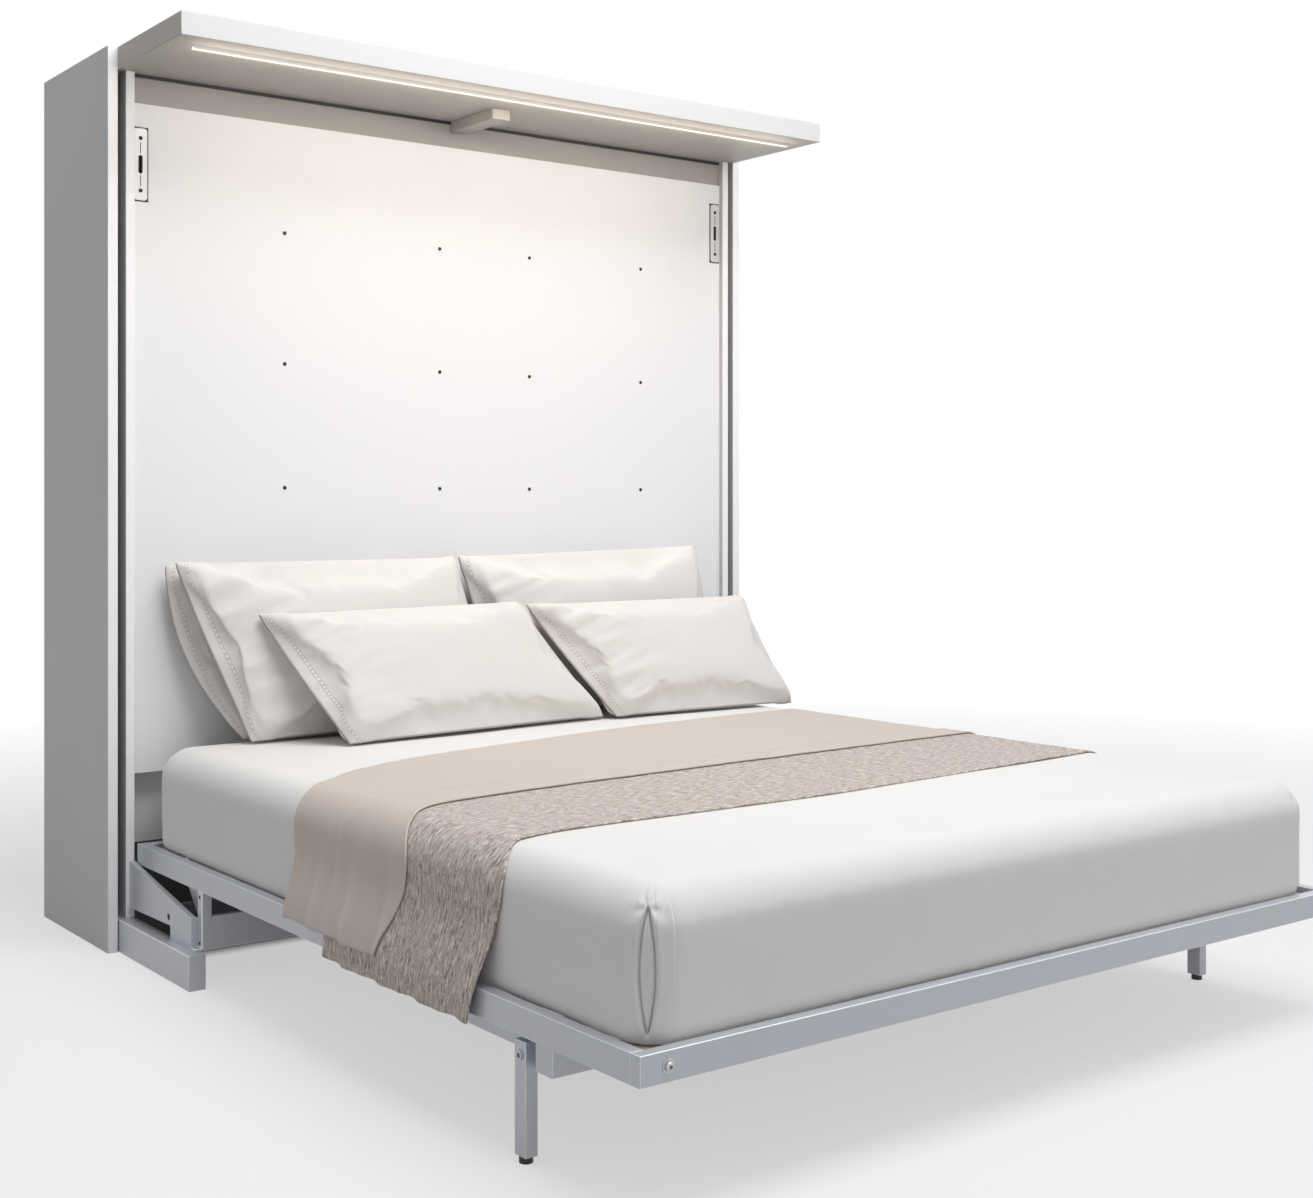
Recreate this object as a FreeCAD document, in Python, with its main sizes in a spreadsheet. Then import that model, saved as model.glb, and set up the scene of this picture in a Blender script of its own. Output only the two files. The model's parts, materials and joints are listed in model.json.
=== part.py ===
"""Wall bed: a cabinet with an overhanging lit canopy, and a bed frame that tilts up into it on two pins.

Frame: X runs across the bed, +Y to the wall, +Z up. The origin is on the floor, under the middle
of the whole part. All lengths are in millimetres, and places along Y are first written from the
front plane of the cabinet, with the bed on the minus side.
"""

import FreeCAD, Part
import math
import os
import re

import Sketcher

# Driving sizes, kept in a sheet
SIZES = {
    # mattress and bed frame
    "mattress_width": 1800.0,
    "mattress_length": 2000.0,
    "mattress_thickness": 250.0,
    "mattress_edge_radius": 45.0,
    "side_gap": 10.0,
    "end_gap": 10.0,
    "rail_width": 25.0,
    "rail_height": 50.0,
    "rail_wall": 2.5,
    "rail_underside": 213.0,
    "head_clearance": 10.0,
    "deck_rail_width": 30.0,
    "deck_rail_height": 28.0,
    "deck_rail_wall": 2.0,
    "deck_rail_offset": 450.0,
    "slat_width": 70.0,
    "slat_thickness": 12.0,
    "slat_inset": 5.0,
    "slat_end_margin": 20.0,
    "corner_bolt_inset": 55.0,
    "corner_bolt_head_radius": 8.0,
    "bolt_head_height": 5.0,
    "corner_washer_radius": 12.0,
    "corner_washer_thickness": 1.5,
    "corner_bracket_length": 60.0,
    "corner_bracket_wall": 4.0,
    # pivot
    "pivot_setback": 250.0,
    "pivot_height": 249.0,
    "pivot_pin_radius": 8.0,
    "pivot_pin_clearance": 0.05,
    "pivot_pin_head_radius": 12.0,
    "pivot_pin_head_height": 3.5,
    "pivot_insert_length": 80.0,
    "pivot_plate_thickness": 5.0,
    "pivot_plate_gap": 1.0,
    "pivot_plate_boss": 16.0,
    "pivot_plate_foot": 95.0,
    "pivot_plate_flange": 55.0,
    "pivot_plate_beam_margin": 5.0,
    "pivot_bolt_head_radius": 7.0,
    "pivot_bolt_head_height": 4.5,
    "pivot_bolt_edge": 14.0,
    # legs
    "leg_width": 24.0,
    "leg_depth": 34.0,
    "leg_wall": 2.0,
    "leg_foot_distance": 310.0,
    "leg_hinge_height": 181.0,
    "leg_top_reach": 24.0,
    "leg_side_gap": 0.5,
    "leg_pin_radius": 5.0,
    "leg_pin_clearance": 0.05,
    "leg_pin_head_radius": 8.0,
    "leg_pin_head_height": 3.0,
    "leg_bracket_thickness": 5.0,
    "leg_bracket_foot_reach": 40.0,
    "leg_bracket_head_reach": 400.0,
    "leg_bracket_drop": 23.0,
    "leg_bracket_arm_drop": 32.0,
    "leg_bracket_top_margin": 6.0,
    "glide_radius": 12.0,
    "glide_height": 12.0,
    "glide_plug_height": 26.0,
    "glide_plug_gap": 0.2,
    "cross_member_width": 50.0,
    "cross_member_height": 50.0,
    "cross_member_wall": 2.5,
    # cabinet
    "cabinet_height": 2220.0,
    "cabinet_depth": 480.0,
    "bed_side_clearance": 3.0,
    "upright_thickness": 22.0,
    "upright_gap": 20.0,
    "side_panel_thickness": 25.0,
    "canopy_thickness": 55.0,
    "canopy_overhang": 400.0,
    "canopy_bracket_width": 56.0,
    "canopy_bracket_height": 29.0,
    "canopy_bracket_reach": 200.0,
    "led_setback": 68.0,
    "led_end_margin": 60.0,
    "led_width": 20.0,
    "led_channel_height": 16.0,
    "led_groove_depth": 8.0,
    "led_wall": 2.0,
    "led_diffuser_height": 6.0,
    "header_height": 73.0,
    "header_recess": 22.0,
    "back_board_thickness": 18.0,
    "back_recess": 16.0,
    "back_board_bottom": 432.0,
    "lower_board_recess": 75.0,
    "rear_rail_height": 100.0,
    "rear_rail_thickness": 22.0,
    "rear_bottom_rail_height": 110.0,
    "wall_hole_radius": 4.0,
    "wall_hole_spacing": 1600.0,
    "anchor_plate_width": 34.0,
    "anchor_plate_height": 178.0,
    "anchor_plate_thickness": 2.5,
    "anchor_plate_drop": 62.0,
    "anchor_plate_corner": 8.0,
    "anchor_slot_width": 11.0,
    "anchor_slot_height": 46.0,
    "anchor_screw_radius": 2.5,
    "anchor_screw_head_radius": 5.0,
    "anchor_screw_head_height": 2.0,
    "anchor_screw_spacing": 130.0,
    "board_screw_radius": 2.5,
    "board_screw_head_radius": 5.0,
    "board_screw_head_height": 2.0,
    "board_screw_length": 15.0,
    # runners, posts and the beam between them
    "runner_width": 40.0,
    "runner_height": 80.0,
    "runner_wall": 3.0,
    "runner_side_gap": 2.0,
    "runner_reach": 440.0,
    "runner_plug_depth": 15.0,
    "runner_plug_gap": 0.2,
    "post_width": 24.0,
    "post_depth": 25.0,
    "post_setback": 385.0,
    "post_foot_thickness": 6.0,
    "post_foot_seat_width": 14.0,
    "post_screw_head_radius": 4.0,
    "post_screw_head_height": 1.2,
    "post_screw_margin": 9.0,
    "beam_depth": 20.0,
    "beam_height": 75.0,
    "beam_wall": 2.5,
    "gusset_thickness": 3.0,
    "gusset_setback": 10.0,
    "gusset_flange": 13.0,
    "gusset_back_height": 220.0,
    "gusset_front_height": 152.0,
    "gusset_back_underside": 106.0,
    "gusset_front_underside": 112.0,
    "gusset_notch_setback": 262.0,
    "gusset_hole_radius": 9.0,
    "gusset_hole_setback": 250.0,
    "gusset_hole_height": 130.0,
    # bedding
    "pillow_width": 730.0,
    "pillow_height": 455.0,
    "pillow_thickness": 130.0,
    "pillow_seam": 6.0,
    "soft_gap": 0.3,
    "throw_thickness": 8.0,
    "throw_drop": 290.0,
    "throw_flare": 36.0,
    "throw_gap": 1.0,
    "cut_overrun": 5.0,
}

doc = FreeCAD.newDocument("WallBed")
sheet = doc.addObject("Spreadsheet::Sheet", "Sizes")
for row, (alias, value) in enumerate(SIZES.items(), start=1):
    sheet.set(f"A{row}", alias)
    sheet.set(f"B{row}", str(value))
    sheet.setAlias(f"B{row}", alias)
doc.recompute()

NODES = []


def sized(text):
    """The text of a formula with each alias pointed at the sheet."""
    return re.sub(r"[a-z_]+", r"Sizes.\g<0>", text)


def size(formula):
    """What a driving size, or a formula of them, comes to."""
    return float(sheet.evalExpression(sized(formula)))


def bind(thing, **formulas):
    """Bind properties to formulas of the sheet's aliases; base_x and so on stand for the placement."""
    for name, formula in formulas.items():
        if name.startswith("base_"):
            name = f"Placement.Base.{name[-1]}"
        thing.setExpression(name, sized(formula))
    return thing


def node(thing, label):
    """Give an object the name that its file gets."""
    thing.Label = label
    NODES.append(thing)
    return thing


# Places that several pieces share, as formulas; across the bed they count from the middle
MATTRESS_SIDE = "mattress_width / 2"
RAIL_INNER = f"({MATTRESS_SIDE} + side_gap)"
RAIL_OUTER = f"({RAIL_INNER} + rail_width)"
UPRIGHT_INNER = f"({RAIL_OUTER} + bed_side_clearance)"
UPRIGHT_OUTER = f"({UPRIGHT_INNER} + upright_thickness)"
PANEL_INNER = f"({UPRIGHT_OUTER} + upright_gap)"
PANEL_OUTER = f"({PANEL_INNER} + side_panel_thickness)"
BED_REACH = "(head_clearance + 2 * rail_width + 2 * end_gap + mattress_length)"
HEAD_RAIL_INNER = "(head_clearance + rail_width)"
MATTRESS_HEAD = f"({HEAD_RAIL_INNER} + end_gap)"
MATTRESS_FOOT = f"({MATTRESS_HEAD} + mattress_length)"
FOOT_RAIL_INNER = f"({MATTRESS_FOOT} + end_gap)"
CENTRE_SHIFT = (
    f"({BED_REACH} + corner_washer_thickness + bolt_head_height - cabinet_depth) / 2"
)
DECK_TOP = "(rail_underside + deck_rail_height)"
MATTRESS_UNDERSIDE = f"({DECK_TOP} + slat_thickness)"
MATTRESS_TOP = f"({MATTRESS_UNDERSIDE} + mattress_thickness)"
CANOPY_UNDERSIDE = "(cabinet_height - canopy_thickness)"
BACK_BOARD_TOP = f"({CANOPY_UNDERSIDE} - header_height)"
INNER_DEPTH = "(cabinet_depth - rear_rail_thickness)"
RUNNER_OUTER = f"({PANEL_INNER} - runner_side_gap)"
RUNNER_INNER = f"({RUNNER_OUTER} - runner_width)"
POST_OUTER = RAIL_OUTER
POST_INNER = f"({POST_OUTER} - post_width)"
POST_FRONT = "(post_setback + post_depth)"
PIVOT_PLATE_OUTER = f"({RAIL_INNER} - pivot_plate_gap)"
PIVOT_PLATE_INNER = f"({PIVOT_PLATE_OUTER} - pivot_plate_thickness)"
BEAM_REAR = "(post_setback + (post_depth - beam_depth) / 2)"
LEG_SETBACK = f"({FOOT_RAIL_INNER} - leg_foot_distance)"
LEG_OUTER = f"({RAIL_INNER} + leg_side_gap + leg_width)"
LEG_INNER = f"({RAIL_INNER} + leg_side_gap)"
CROSS_REAR = f"({LEG_SETBACK} + leg_bracket_foot_reach)"
CROSS_UNDERSIDE = "(rail_underside - cross_member_height)"

SIDES = (("left", -1), ("right", 1))


def start(side, inner, outer):
    """Where a piece between two distances from the middle starts, on either side."""
    if side < 0:
        return f"-({outer})"
    return inner


def box(x, y, z, length, width, height, label=None):
    """A block from its low corner; y counts from the front plane of the cabinet."""
    block = bind(
        doc.addObject("Part::Box", "Block"),
        Length=length,
        Width=width,
        Height=height,
        base_x=x,
        base_y=f"{y} + {CENTRE_SHIFT}",
        base_z=z,
    )
    if label:
        node(block, label)
    return block


def rod(x, y, z, radius, length, axis, label=None):
    """A round bar from the middle of its first end, along +X, +Y or +Z."""
    bar = bind(
        doc.addObject("Part::Cylinder", "Bar"),
        Radius=radius,
        Height=length,
    )
    turns = {
        "X": FreeCAD.Rotation(FreeCAD.Vector(0, 1, 0), 90),
        "Y": FreeCAD.Rotation(FreeCAD.Vector(1, 0, 0), -90),
        "Z": FreeCAD.Rotation(),
    }
    bar.Placement = FreeCAD.Placement(FreeCAD.Vector(), turns[axis])
    bind(bar, base_x=x, base_y=f"{y} + {CENTRE_SHIFT}", base_z=z)
    if label:
        node(bar, label)
    return bar


def cut(base, tools, label=None):
    """The base with the tools taken away."""
    tool = tools[0]
    if len(tools) > 1:
        tool = doc.addObject("Part::MultiFuse", "Tools")
        tool.Shapes = tools
    result = doc.addObject("Part::Cut", "Cut")
    result.Base = base
    result.Tool = tool
    if label:
        node(result, label)
    return result


def joined(pieces, label=None):
    """Touching pieces as one solid."""
    result = doc.addObject("Part::MultiFuse", "Joined")
    result.Shapes = pieces
    result.Refine = True
    if label:
        node(result, label)
    return result


def grouped(pieces, label):
    """Like small pieces that share a node but don't touch."""
    result = doc.addObject("Part::Compound", "Group")
    result.Links = pieces
    return node(result, label)


def square_tube(x, y, z, length, width, height, wall, axis, label=None):
    """A hollow rectangular section that is open at both ends of its axis."""
    outer = box(x, y, z, length, width, height)
    inner_from = {"X": x, "Y": y, "Z": z}
    inner_span = {"X": length, "Y": width, "Z": height}
    for name in "XYZ":
        if name == axis:
            inner_from[name] = f"{inner_from[name]} - cut_overrun"
            inner_span[name] = f"{inner_span[name]} + 2 * cut_overrun"
        else:
            inner_from[name] = f"{inner_from[name]} + {wall}"
            inner_span[name] = f"{inner_span[name]} - 2 * {wall}"
    inner = box(*inner_from.values(), *inner_span.values())
    return cut(outer, [inner], label)


def attach(sketch, body, role):
    """Lay a sketch on one of its own body's origin planes."""
    plane = next(item for item in body.Origin.OriginFeatures if item.Role == role)
    sketch.AttachmentSupport = [(plane, "")]
    sketch.MapMode = "FlatFace"


def outline(body, role, points):
    """A closed sketch whose corners are held by formulas of the sheet."""
    sketch = body.newObject("Sketcher::SketchObject", "Outline")
    attach(sketch, body, role)
    count = len(points)
    corners = []
    for index in range(count):
        angle = math.tau * index / count
        corners.append(FreeCAD.Vector(math.cos(angle), math.sin(angle), 0))
    for index in range(count):
        sketch.addGeometry(Part.LineSegment(corners[index], corners[(index + 1) % count]))
    for index in range(count):
        sketch.addConstraint(Sketcher.Constraint("Coincident", index, 2, (index + 1) % count, 1))
    for index, place in enumerate(points):
        for direction, formula in zip(("DistanceX", "DistanceY"), place):
            at = getattr(corners[index], direction[-1].lower())
            number = sketch.addConstraint(Sketcher.Constraint(direction, -1, 1, index, 1, at))
            sketch.setExpression(f"Constraints[{number}]", sized(formula))
    return sketch


def circle(body, role, across, up, radius):
    """A sketch of one circle, held by formulas of the sheet."""
    sketch = body.newObject("Sketcher::SketchObject", "Circle")
    attach(sketch, body, role)
    unit = FreeCAD.Vector(1, 1, 0)
    sketch.addGeometry(Part.Circle(unit, FreeCAD.Vector(0, 0, 1), 1))
    numbers = (
        sketch.addConstraint(Sketcher.Constraint("Radius", 0, 1)),
        sketch.addConstraint(Sketcher.Constraint("DistanceX", -1, 1, 0, 3, 1)),
        sketch.addConstraint(Sketcher.Constraint("DistanceY", -1, 1, 0, 3, 1)),
    )
    for number, formula in zip(numbers, (radius, across, up)):
        sketch.setExpression(f"Constraints[{number}]", sized(formula))
    return sketch


def pad(body, sketch, length, towards):
    """Thicken a sketch towards plus or minus its normal."""
    feature = body.newObject("PartDesign::Pad", "Pad")
    feature.Profile = sketch
    feature.Reversed = towards < 0
    bind(feature, Length=length)
    return feature


def pocket(body, sketch, length, towards):
    """Cut a sketch away towards plus or minus its normal."""
    feature = body.newObject("PartDesign::Pocket", "Pocket")
    feature.Profile = sketch
    feature.Reversed = towards > 0
    bind(feature, Length=length)
    return feature


def plate_body(label, x):
    """An empty body whose YZ plane stands at x, with y from the front plane of the cabinet."""
    body = doc.addObject("PartDesign::Body", "Plate")
    bind(body, base_x=x, base_y=CENTRE_SHIFT)
    return node(body, label)


# Cabinet boards: side panels, inner uprights, back and header boards
def build_boards():
    for name, side in SIDES:
        box(
            start(side, PANEL_INNER, PANEL_OUTER), "0", "0",
            "side_panel_thickness", "cabinet_depth", "cabinet_height",
            f"{name}_side_panel",
        )
        box(
            start(side, UPRIGHT_INNER, UPRIGHT_OUTER), "0", "runner_height",
            "upright_thickness", INNER_DEPTH, f"{CANOPY_UNDERSIDE} - runner_height",
            f"{name}_upright",
        )
    box(
        f"-{UPRIGHT_INNER}", "header_recess", BACK_BOARD_TOP,
        f"2 * {UPRIGHT_INNER}", "back_board_thickness", "header_height",
        "header_board",
    )
    box(
        f"-{UPRIGHT_INNER}", "back_recess + back_board_thickness", "back_board_bottom",
        f"2 * {UPRIGHT_INNER}", "lower_board_recess - back_recess", "back_board_thickness",
        "recess_shelf",
    )
    box(
        f"-{UPRIGHT_INNER}", "lower_board_recess", "runner_height",
        f"2 * {UPRIGHT_INNER}", "back_board_thickness", "back_board_bottom - runner_height",
        "lower_back_board",
    )


# Screws of the back board: four columns and three rows, where the photograph shows them
BOARD_SCREW_COLUMN_SHARES = (-0.283, -0.035, 0.123, 0.336)
BOARD_SCREW_ROW_SHARES = (0.828, 0.622, 0.427)


def build_back_board():
    board = box(
        f"-{UPRIGHT_INNER}", "back_recess", "back_board_bottom",
        f"2 * {UPRIGHT_INNER}", "back_board_thickness", f"{BACK_BOARD_TOP} - back_board_bottom",
    )
    holes = []
    screws = []
    for column_share in BOARD_SCREW_COLUMN_SHARES:
        for row_share in BOARD_SCREW_ROW_SHARES:
            x = f"2 * {UPRIGHT_INNER} * ({column_share})"
            z = f"back_board_bottom + ({BACK_BOARD_TOP} - back_board_bottom) * ({row_share})"
            holes.append(rod(
                x, "back_recess - cut_overrun", z,
                "board_screw_radius", "back_board_thickness + 2 * cut_overrun", "Y",
            ))
            head = rod(
                x, "back_recess - board_screw_head_height", z,
                "board_screw_head_radius", "board_screw_head_height", "Y",
            )
            shank = rod(x, "back_recess", z, "board_screw_radius", "board_screw_length", "Y")
            screws.append(joined([head, shank]))
    cut(board, holes, "back_board")
    grouped(screws, "back_board_screws")


# Canopy: the top board runs out over the bed, with a light along its underside
def build_canopy():
    board = box(
        f"-{PANEL_INNER}", "-canopy_overhang", CANOPY_UNDERSIDE,
        f"2 * {PANEL_INNER}", "canopy_overhang + cabinet_depth", "canopy_thickness",
    )
    led_start = f"-({PANEL_INNER} - led_end_margin)"
    led_length = f"2 * ({PANEL_INNER} - led_end_margin)"
    led_front = "led_setback - canopy_overhang"
    led_top = f"({CANOPY_UNDERSIDE} + led_groove_depth)"
    groove = box(
        led_start, led_front, f"{CANOPY_UNDERSIDE} - cut_overrun",
        led_length, "led_width", "led_groove_depth + cut_overrun",
    )
    cut(board, [groove], "canopy")
    profile = box(
        led_start, led_front, f"{led_top} - led_channel_height",
        led_length, "led_width", "led_channel_height",
    )
    hollow = box(
        f"{led_start} - cut_overrun", f"{led_front} + led_wall",
        f"{led_top} - led_channel_height - cut_overrun",
        f"{led_length} + 2 * cut_overrun", "led_width - 2 * led_wall",
        "led_channel_height - led_wall + cut_overrun",
    )
    cut(profile, [hollow], "led_channel")
    box(
        led_start, f"{led_front} + led_wall", f"{led_top} - led_channel_height",
        led_length, "led_width - 2 * led_wall", "led_diffuser_height",
        "led_diffuser",
    )
    box(
        "-canopy_bracket_width / 2", "-canopy_bracket_reach",
        f"{CANOPY_UNDERSIDE} - canopy_bracket_height",
        "canopy_bracket_width", "canopy_bracket_reach + header_recess", "canopy_bracket_height",
        "canopy_bracket",
    )


# Rails across the back; the top one is screwed to the wall through four holes
def build_rear_rails():
    rail = box(
        f"-{PANEL_INNER}", INNER_DEPTH, f"{CANOPY_UNDERSIDE} - rear_rail_height",
        f"2 * {PANEL_INNER}", "rear_rail_thickness", "rear_rail_height",
    )
    holes = []
    for place_share in (-1 / 2, -1 / 6, 1 / 6, 1 / 2):
        holes.append(rod(
            f"wall_hole_spacing * ({place_share})", f"{INNER_DEPTH} - cut_overrun",
            f"{CANOPY_UNDERSIDE} - rear_rail_height / 2",
            "wall_hole_radius", "rear_rail_thickness + 2 * cut_overrun", "Y",
        ))
    cut(rail, holes, "rear_top_rail")
    box(
        f"-{PANEL_INNER}", INNER_DEPTH, "runner_height",
        f"2 * {PANEL_INNER}", "rear_rail_thickness", "rear_bottom_rail_height",
        "rear_bottom_rail",
    )


# Slotted plates near the top corners of the back board
def build_anchor_plates():
    middle = f"({BACK_BOARD_TOP} - anchor_plate_drop - anchor_plate_height / 2)"
    front = "back_recess - anchor_plate_thickness"
    cut_from = f"{front} - cut_overrun"
    cut_depth = "anchor_plate_thickness + 2 * cut_overrun"
    screws = []
    for name, side in SIDES:
        inner = f"({UPRIGHT_INNER} - bed_side_clearance - anchor_plate_width)"
        outer = f"({UPRIGHT_INNER} - bed_side_clearance)"
        centre = f"({side}) * ({inner} + anchor_plate_width / 2)"
        across = box(
            start(side, inner, outer), front,
            f"{middle} - anchor_plate_height / 2 + anchor_plate_corner",
            "anchor_plate_width", "anchor_plate_thickness",
            "anchor_plate_height - 2 * anchor_plate_corner",
        )
        tall = box(
            f"{start(side, inner, outer)} + anchor_plate_corner", front,
            f"{middle} - anchor_plate_height / 2",
            "anchor_plate_width - 2 * anchor_plate_corner", "anchor_plate_thickness",
            "anchor_plate_height",
        )
        pieces = [across, tall]
        for across_share in (-1, 1):
            for up_share in (-1, 1):
                pieces.append(rod(
                    f"{centre} + ({across_share}) * (anchor_plate_width / 2 - anchor_plate_corner)",
                    front,
                    f"{middle} + ({up_share}) * (anchor_plate_height / 2 - anchor_plate_corner)",
                    "anchor_plate_corner", "anchor_plate_thickness", "Y",
                ))
        plate = joined(pieces)
        slot_half = "((anchor_slot_height - anchor_slot_width) / 2)"
        openings = [box(
            f"{centre} - anchor_slot_width / 2", cut_from, f"{middle} - {slot_half}",
            "anchor_slot_width", cut_depth, f"2 * {slot_half}",
        )]
        for end_share in (-1, 1):
            openings.append(rod(
                centre, cut_from, f"{middle} + ({end_share}) * {slot_half}",
                "anchor_slot_width / 2", cut_depth, "Y",
            ))
            screw_z = f"{middle} + ({end_share}) * anchor_screw_spacing / 2"
            openings.append(rod(centre, cut_from, screw_z, "anchor_screw_radius", cut_depth, "Y"))
            head = rod(
                centre, f"{front} - anchor_screw_head_height", screw_z,
                "anchor_screw_head_radius", "anchor_screw_head_height", "Y",
            )
            shank = rod(
                centre, front, screw_z,
                "anchor_screw_radius", "anchor_plate_thickness", "Y",
            )
            screws.append(joined([head, shank]))
        cut(plate, openings, f"{name}_anchor_plate")
    grouped(screws, "anchor_plate_screws")


# Runners on the floor, with plugs in their open ends
def build_runners():
    plugs = []
    for name, side in SIDES:
        x = start(side, RUNNER_INNER, RUNNER_OUTER)
        square_tube(
            x, "-runner_reach", "0",
            "runner_width", "runner_reach + cabinet_depth", "runner_height",
            "runner_wall", "Y", f"{name}_runner",
        )
        inset = "(runner_wall + runner_plug_gap)"
        for plug_front in ("-runner_reach", "cabinet_depth - runner_plug_depth"):
            plugs.append(box(
                f"{x} + {inset}", plug_front, inset,
                f"runner_width - 2 * {inset}", "runner_plug_depth",
                f"runner_height - 2 * {inset}",
            ))
    grouped(plugs, "runner_plugs")


# Posts that the side rails rest on, the beam between them and their screws
def build_posts():
    screws = []
    for name, side in SIDES:
        stem = box(
            start(side, POST_INNER, POST_OUTER), f"-{POST_FRONT}", "runner_height",
            "post_width", "post_depth", "rail_underside - runner_height",
        )
        foot_outer = f"({RUNNER_INNER} + post_foot_seat_width)"
        foot = box(
            start(side, POST_INNER, foot_outer), f"-{POST_FRONT}", "runner_height",
            f"{foot_outer} - {POST_INNER}", "post_depth", "post_foot_thickness",
        )
        joined([stem, foot], f"{name}_post")
        for screw_z in (
            "runner_height + post_foot_thickness + post_screw_margin",
            "rail_underside - post_screw_margin - post_screw_head_radius",
        ):
            screws.append(rod(
                start(side, POST_OUTER, f"{POST_OUTER} + post_screw_head_height"),
                "-(post_setback + post_depth / 2)", screw_z,
                "post_screw_head_radius", "post_screw_head_height", "X",
            ))
    grouped(screws, "post_screws")
    square_tube(
        f"-{POST_INNER}", f"-({BEAM_REAR} + beam_depth)", "runner_height",
        f"2 * {POST_INNER}", "beam_depth", "beam_height",
        "beam_wall", "X", "base_beam",
    )


# Bent plates that brace the uprights to the posts
def build_gussets():
    front = "-post_setback"
    back = "0"
    for name, side in SIDES:
        plate_outer = f"({UPRIGHT_INNER} + gusset_setback + gusset_thickness)"
        inwards = -side
        body = plate_body(f"{name}_gusset", f"({side}) * {plate_outer}")
        web = outline(body, "YZ_Plane", (
            (front, "runner_height"),
            ("-gusset_notch_setback", "runner_height"),
            ("-gusset_notch_setback", "gusset_front_underside"),
            (back, "gusset_back_underside"),
            (back, "gusset_back_height"),
            (front, "gusset_front_height"),
        ))
        pad(body, web, "gusset_thickness", inwards)
        top_flange = outline(body, "YZ_Plane", (
            (front, "gusset_front_height - gusset_thickness"),
            (back, "gusset_back_height - gusset_thickness"),
            (back, "gusset_back_height"),
            (front, "gusset_front_height"),
        ))
        pad(body, top_flange, "gusset_flange", inwards)
        front_flange = outline(body, "YZ_Plane", (
            (front, "runner_height"),
            (f"{front} + gusset_thickness", "runner_height"),
            (f"{front} + gusset_thickness", "gusset_front_height"),
            (front, "gusset_front_height"),
        ))
        pad(body, front_flange, f"{plate_outer} - {POST_OUTER} + post_width / 2", inwards)
        hole = circle(
            body, "YZ_Plane", "-gusset_hole_setback", "gusset_hole_height", "gusset_hole_radius",
        )
        pocket(body, hole, "gusset_thickness + cut_overrun", inwards)


# Pivot plates behind the beam, each with the pin that its side rail turns on
def build_pivots():
    bolts = []
    beam_rear = f"-{BEAM_REAR}"
    foot_top = "(runner_height + beam_height - pivot_plate_beam_margin)"
    for name, side in SIDES:
        outwards = side
        body = plate_body(f"{name}_pivot_plate", f"({side}) * {PIVOT_PLATE_INNER}")
        arm = outline(body, "YZ_Plane", (
            (beam_rear, "pivot_plate_foot"),
            (f"{beam_rear} + pivot_plate_boss", "pivot_plate_foot"),
            ("-pivot_setback + pivot_plate_boss", "pivot_height - pivot_plate_boss"),
            ("-pivot_setback + pivot_plate_boss", "pivot_height"),
            ("-pivot_setback", "pivot_height + pivot_plate_boss"),
            ("-pivot_setback - pivot_plate_boss", "pivot_height + pivot_plate_boss / 2"),
            (beam_rear, foot_top),
        ))
        pad(body, arm, "pivot_plate_thickness", outwards)
        flange = outline(body, "YZ_Plane", (
            (beam_rear, "pivot_plate_foot"),
            (f"{beam_rear} + pivot_plate_thickness", "pivot_plate_foot"),
            (f"{beam_rear} + pivot_plate_thickness", foot_top),
            (beam_rear, foot_top),
        ))
        pad(body, flange, "pivot_plate_flange", -outwards)
        hole = circle(
            body, "YZ_Plane", "-pivot_setback", "pivot_height", "pivot_pin_radius",
        )
        pocket(body, hole, "pivot_plate_thickness + cut_overrun", outwards)
        head = rod(
            start(side, f"{PIVOT_PLATE_INNER} - pivot_pin_head_height", PIVOT_PLATE_INNER),
            "-pivot_setback", "pivot_height",
            "pivot_pin_head_radius", "pivot_pin_head_height", "X",
        )
        shank = rod(
            start(side, PIVOT_PLATE_INNER, f"{RAIL_OUTER} - rail_wall - pivot_plate_gap"),
            "-pivot_setback", "pivot_height",
            "pivot_pin_radius",
            f"{RAIL_OUTER} - rail_wall - pivot_plate_gap - {PIVOT_PLATE_INNER}", "X",
        )
        joined([head, shank], f"{name}_pivot_pin")
        for across_share in (1 / 3, 5 / 6):
            for bolt_z in (
                "pivot_plate_foot + pivot_bolt_edge",
                f"{foot_top} - pivot_bolt_edge",
            ):
                x = f"({side}) * ({PIVOT_PLATE_INNER} - pivot_plate_flange * {across_share})"
                bolts.append(rod(
                    x, f"{beam_rear} + pivot_plate_thickness", bolt_z,
                    "pivot_bolt_head_radius", "pivot_bolt_head_height", "Y",
                ))
    grouped(bolts, "pivot_plate_bolts")


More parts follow.
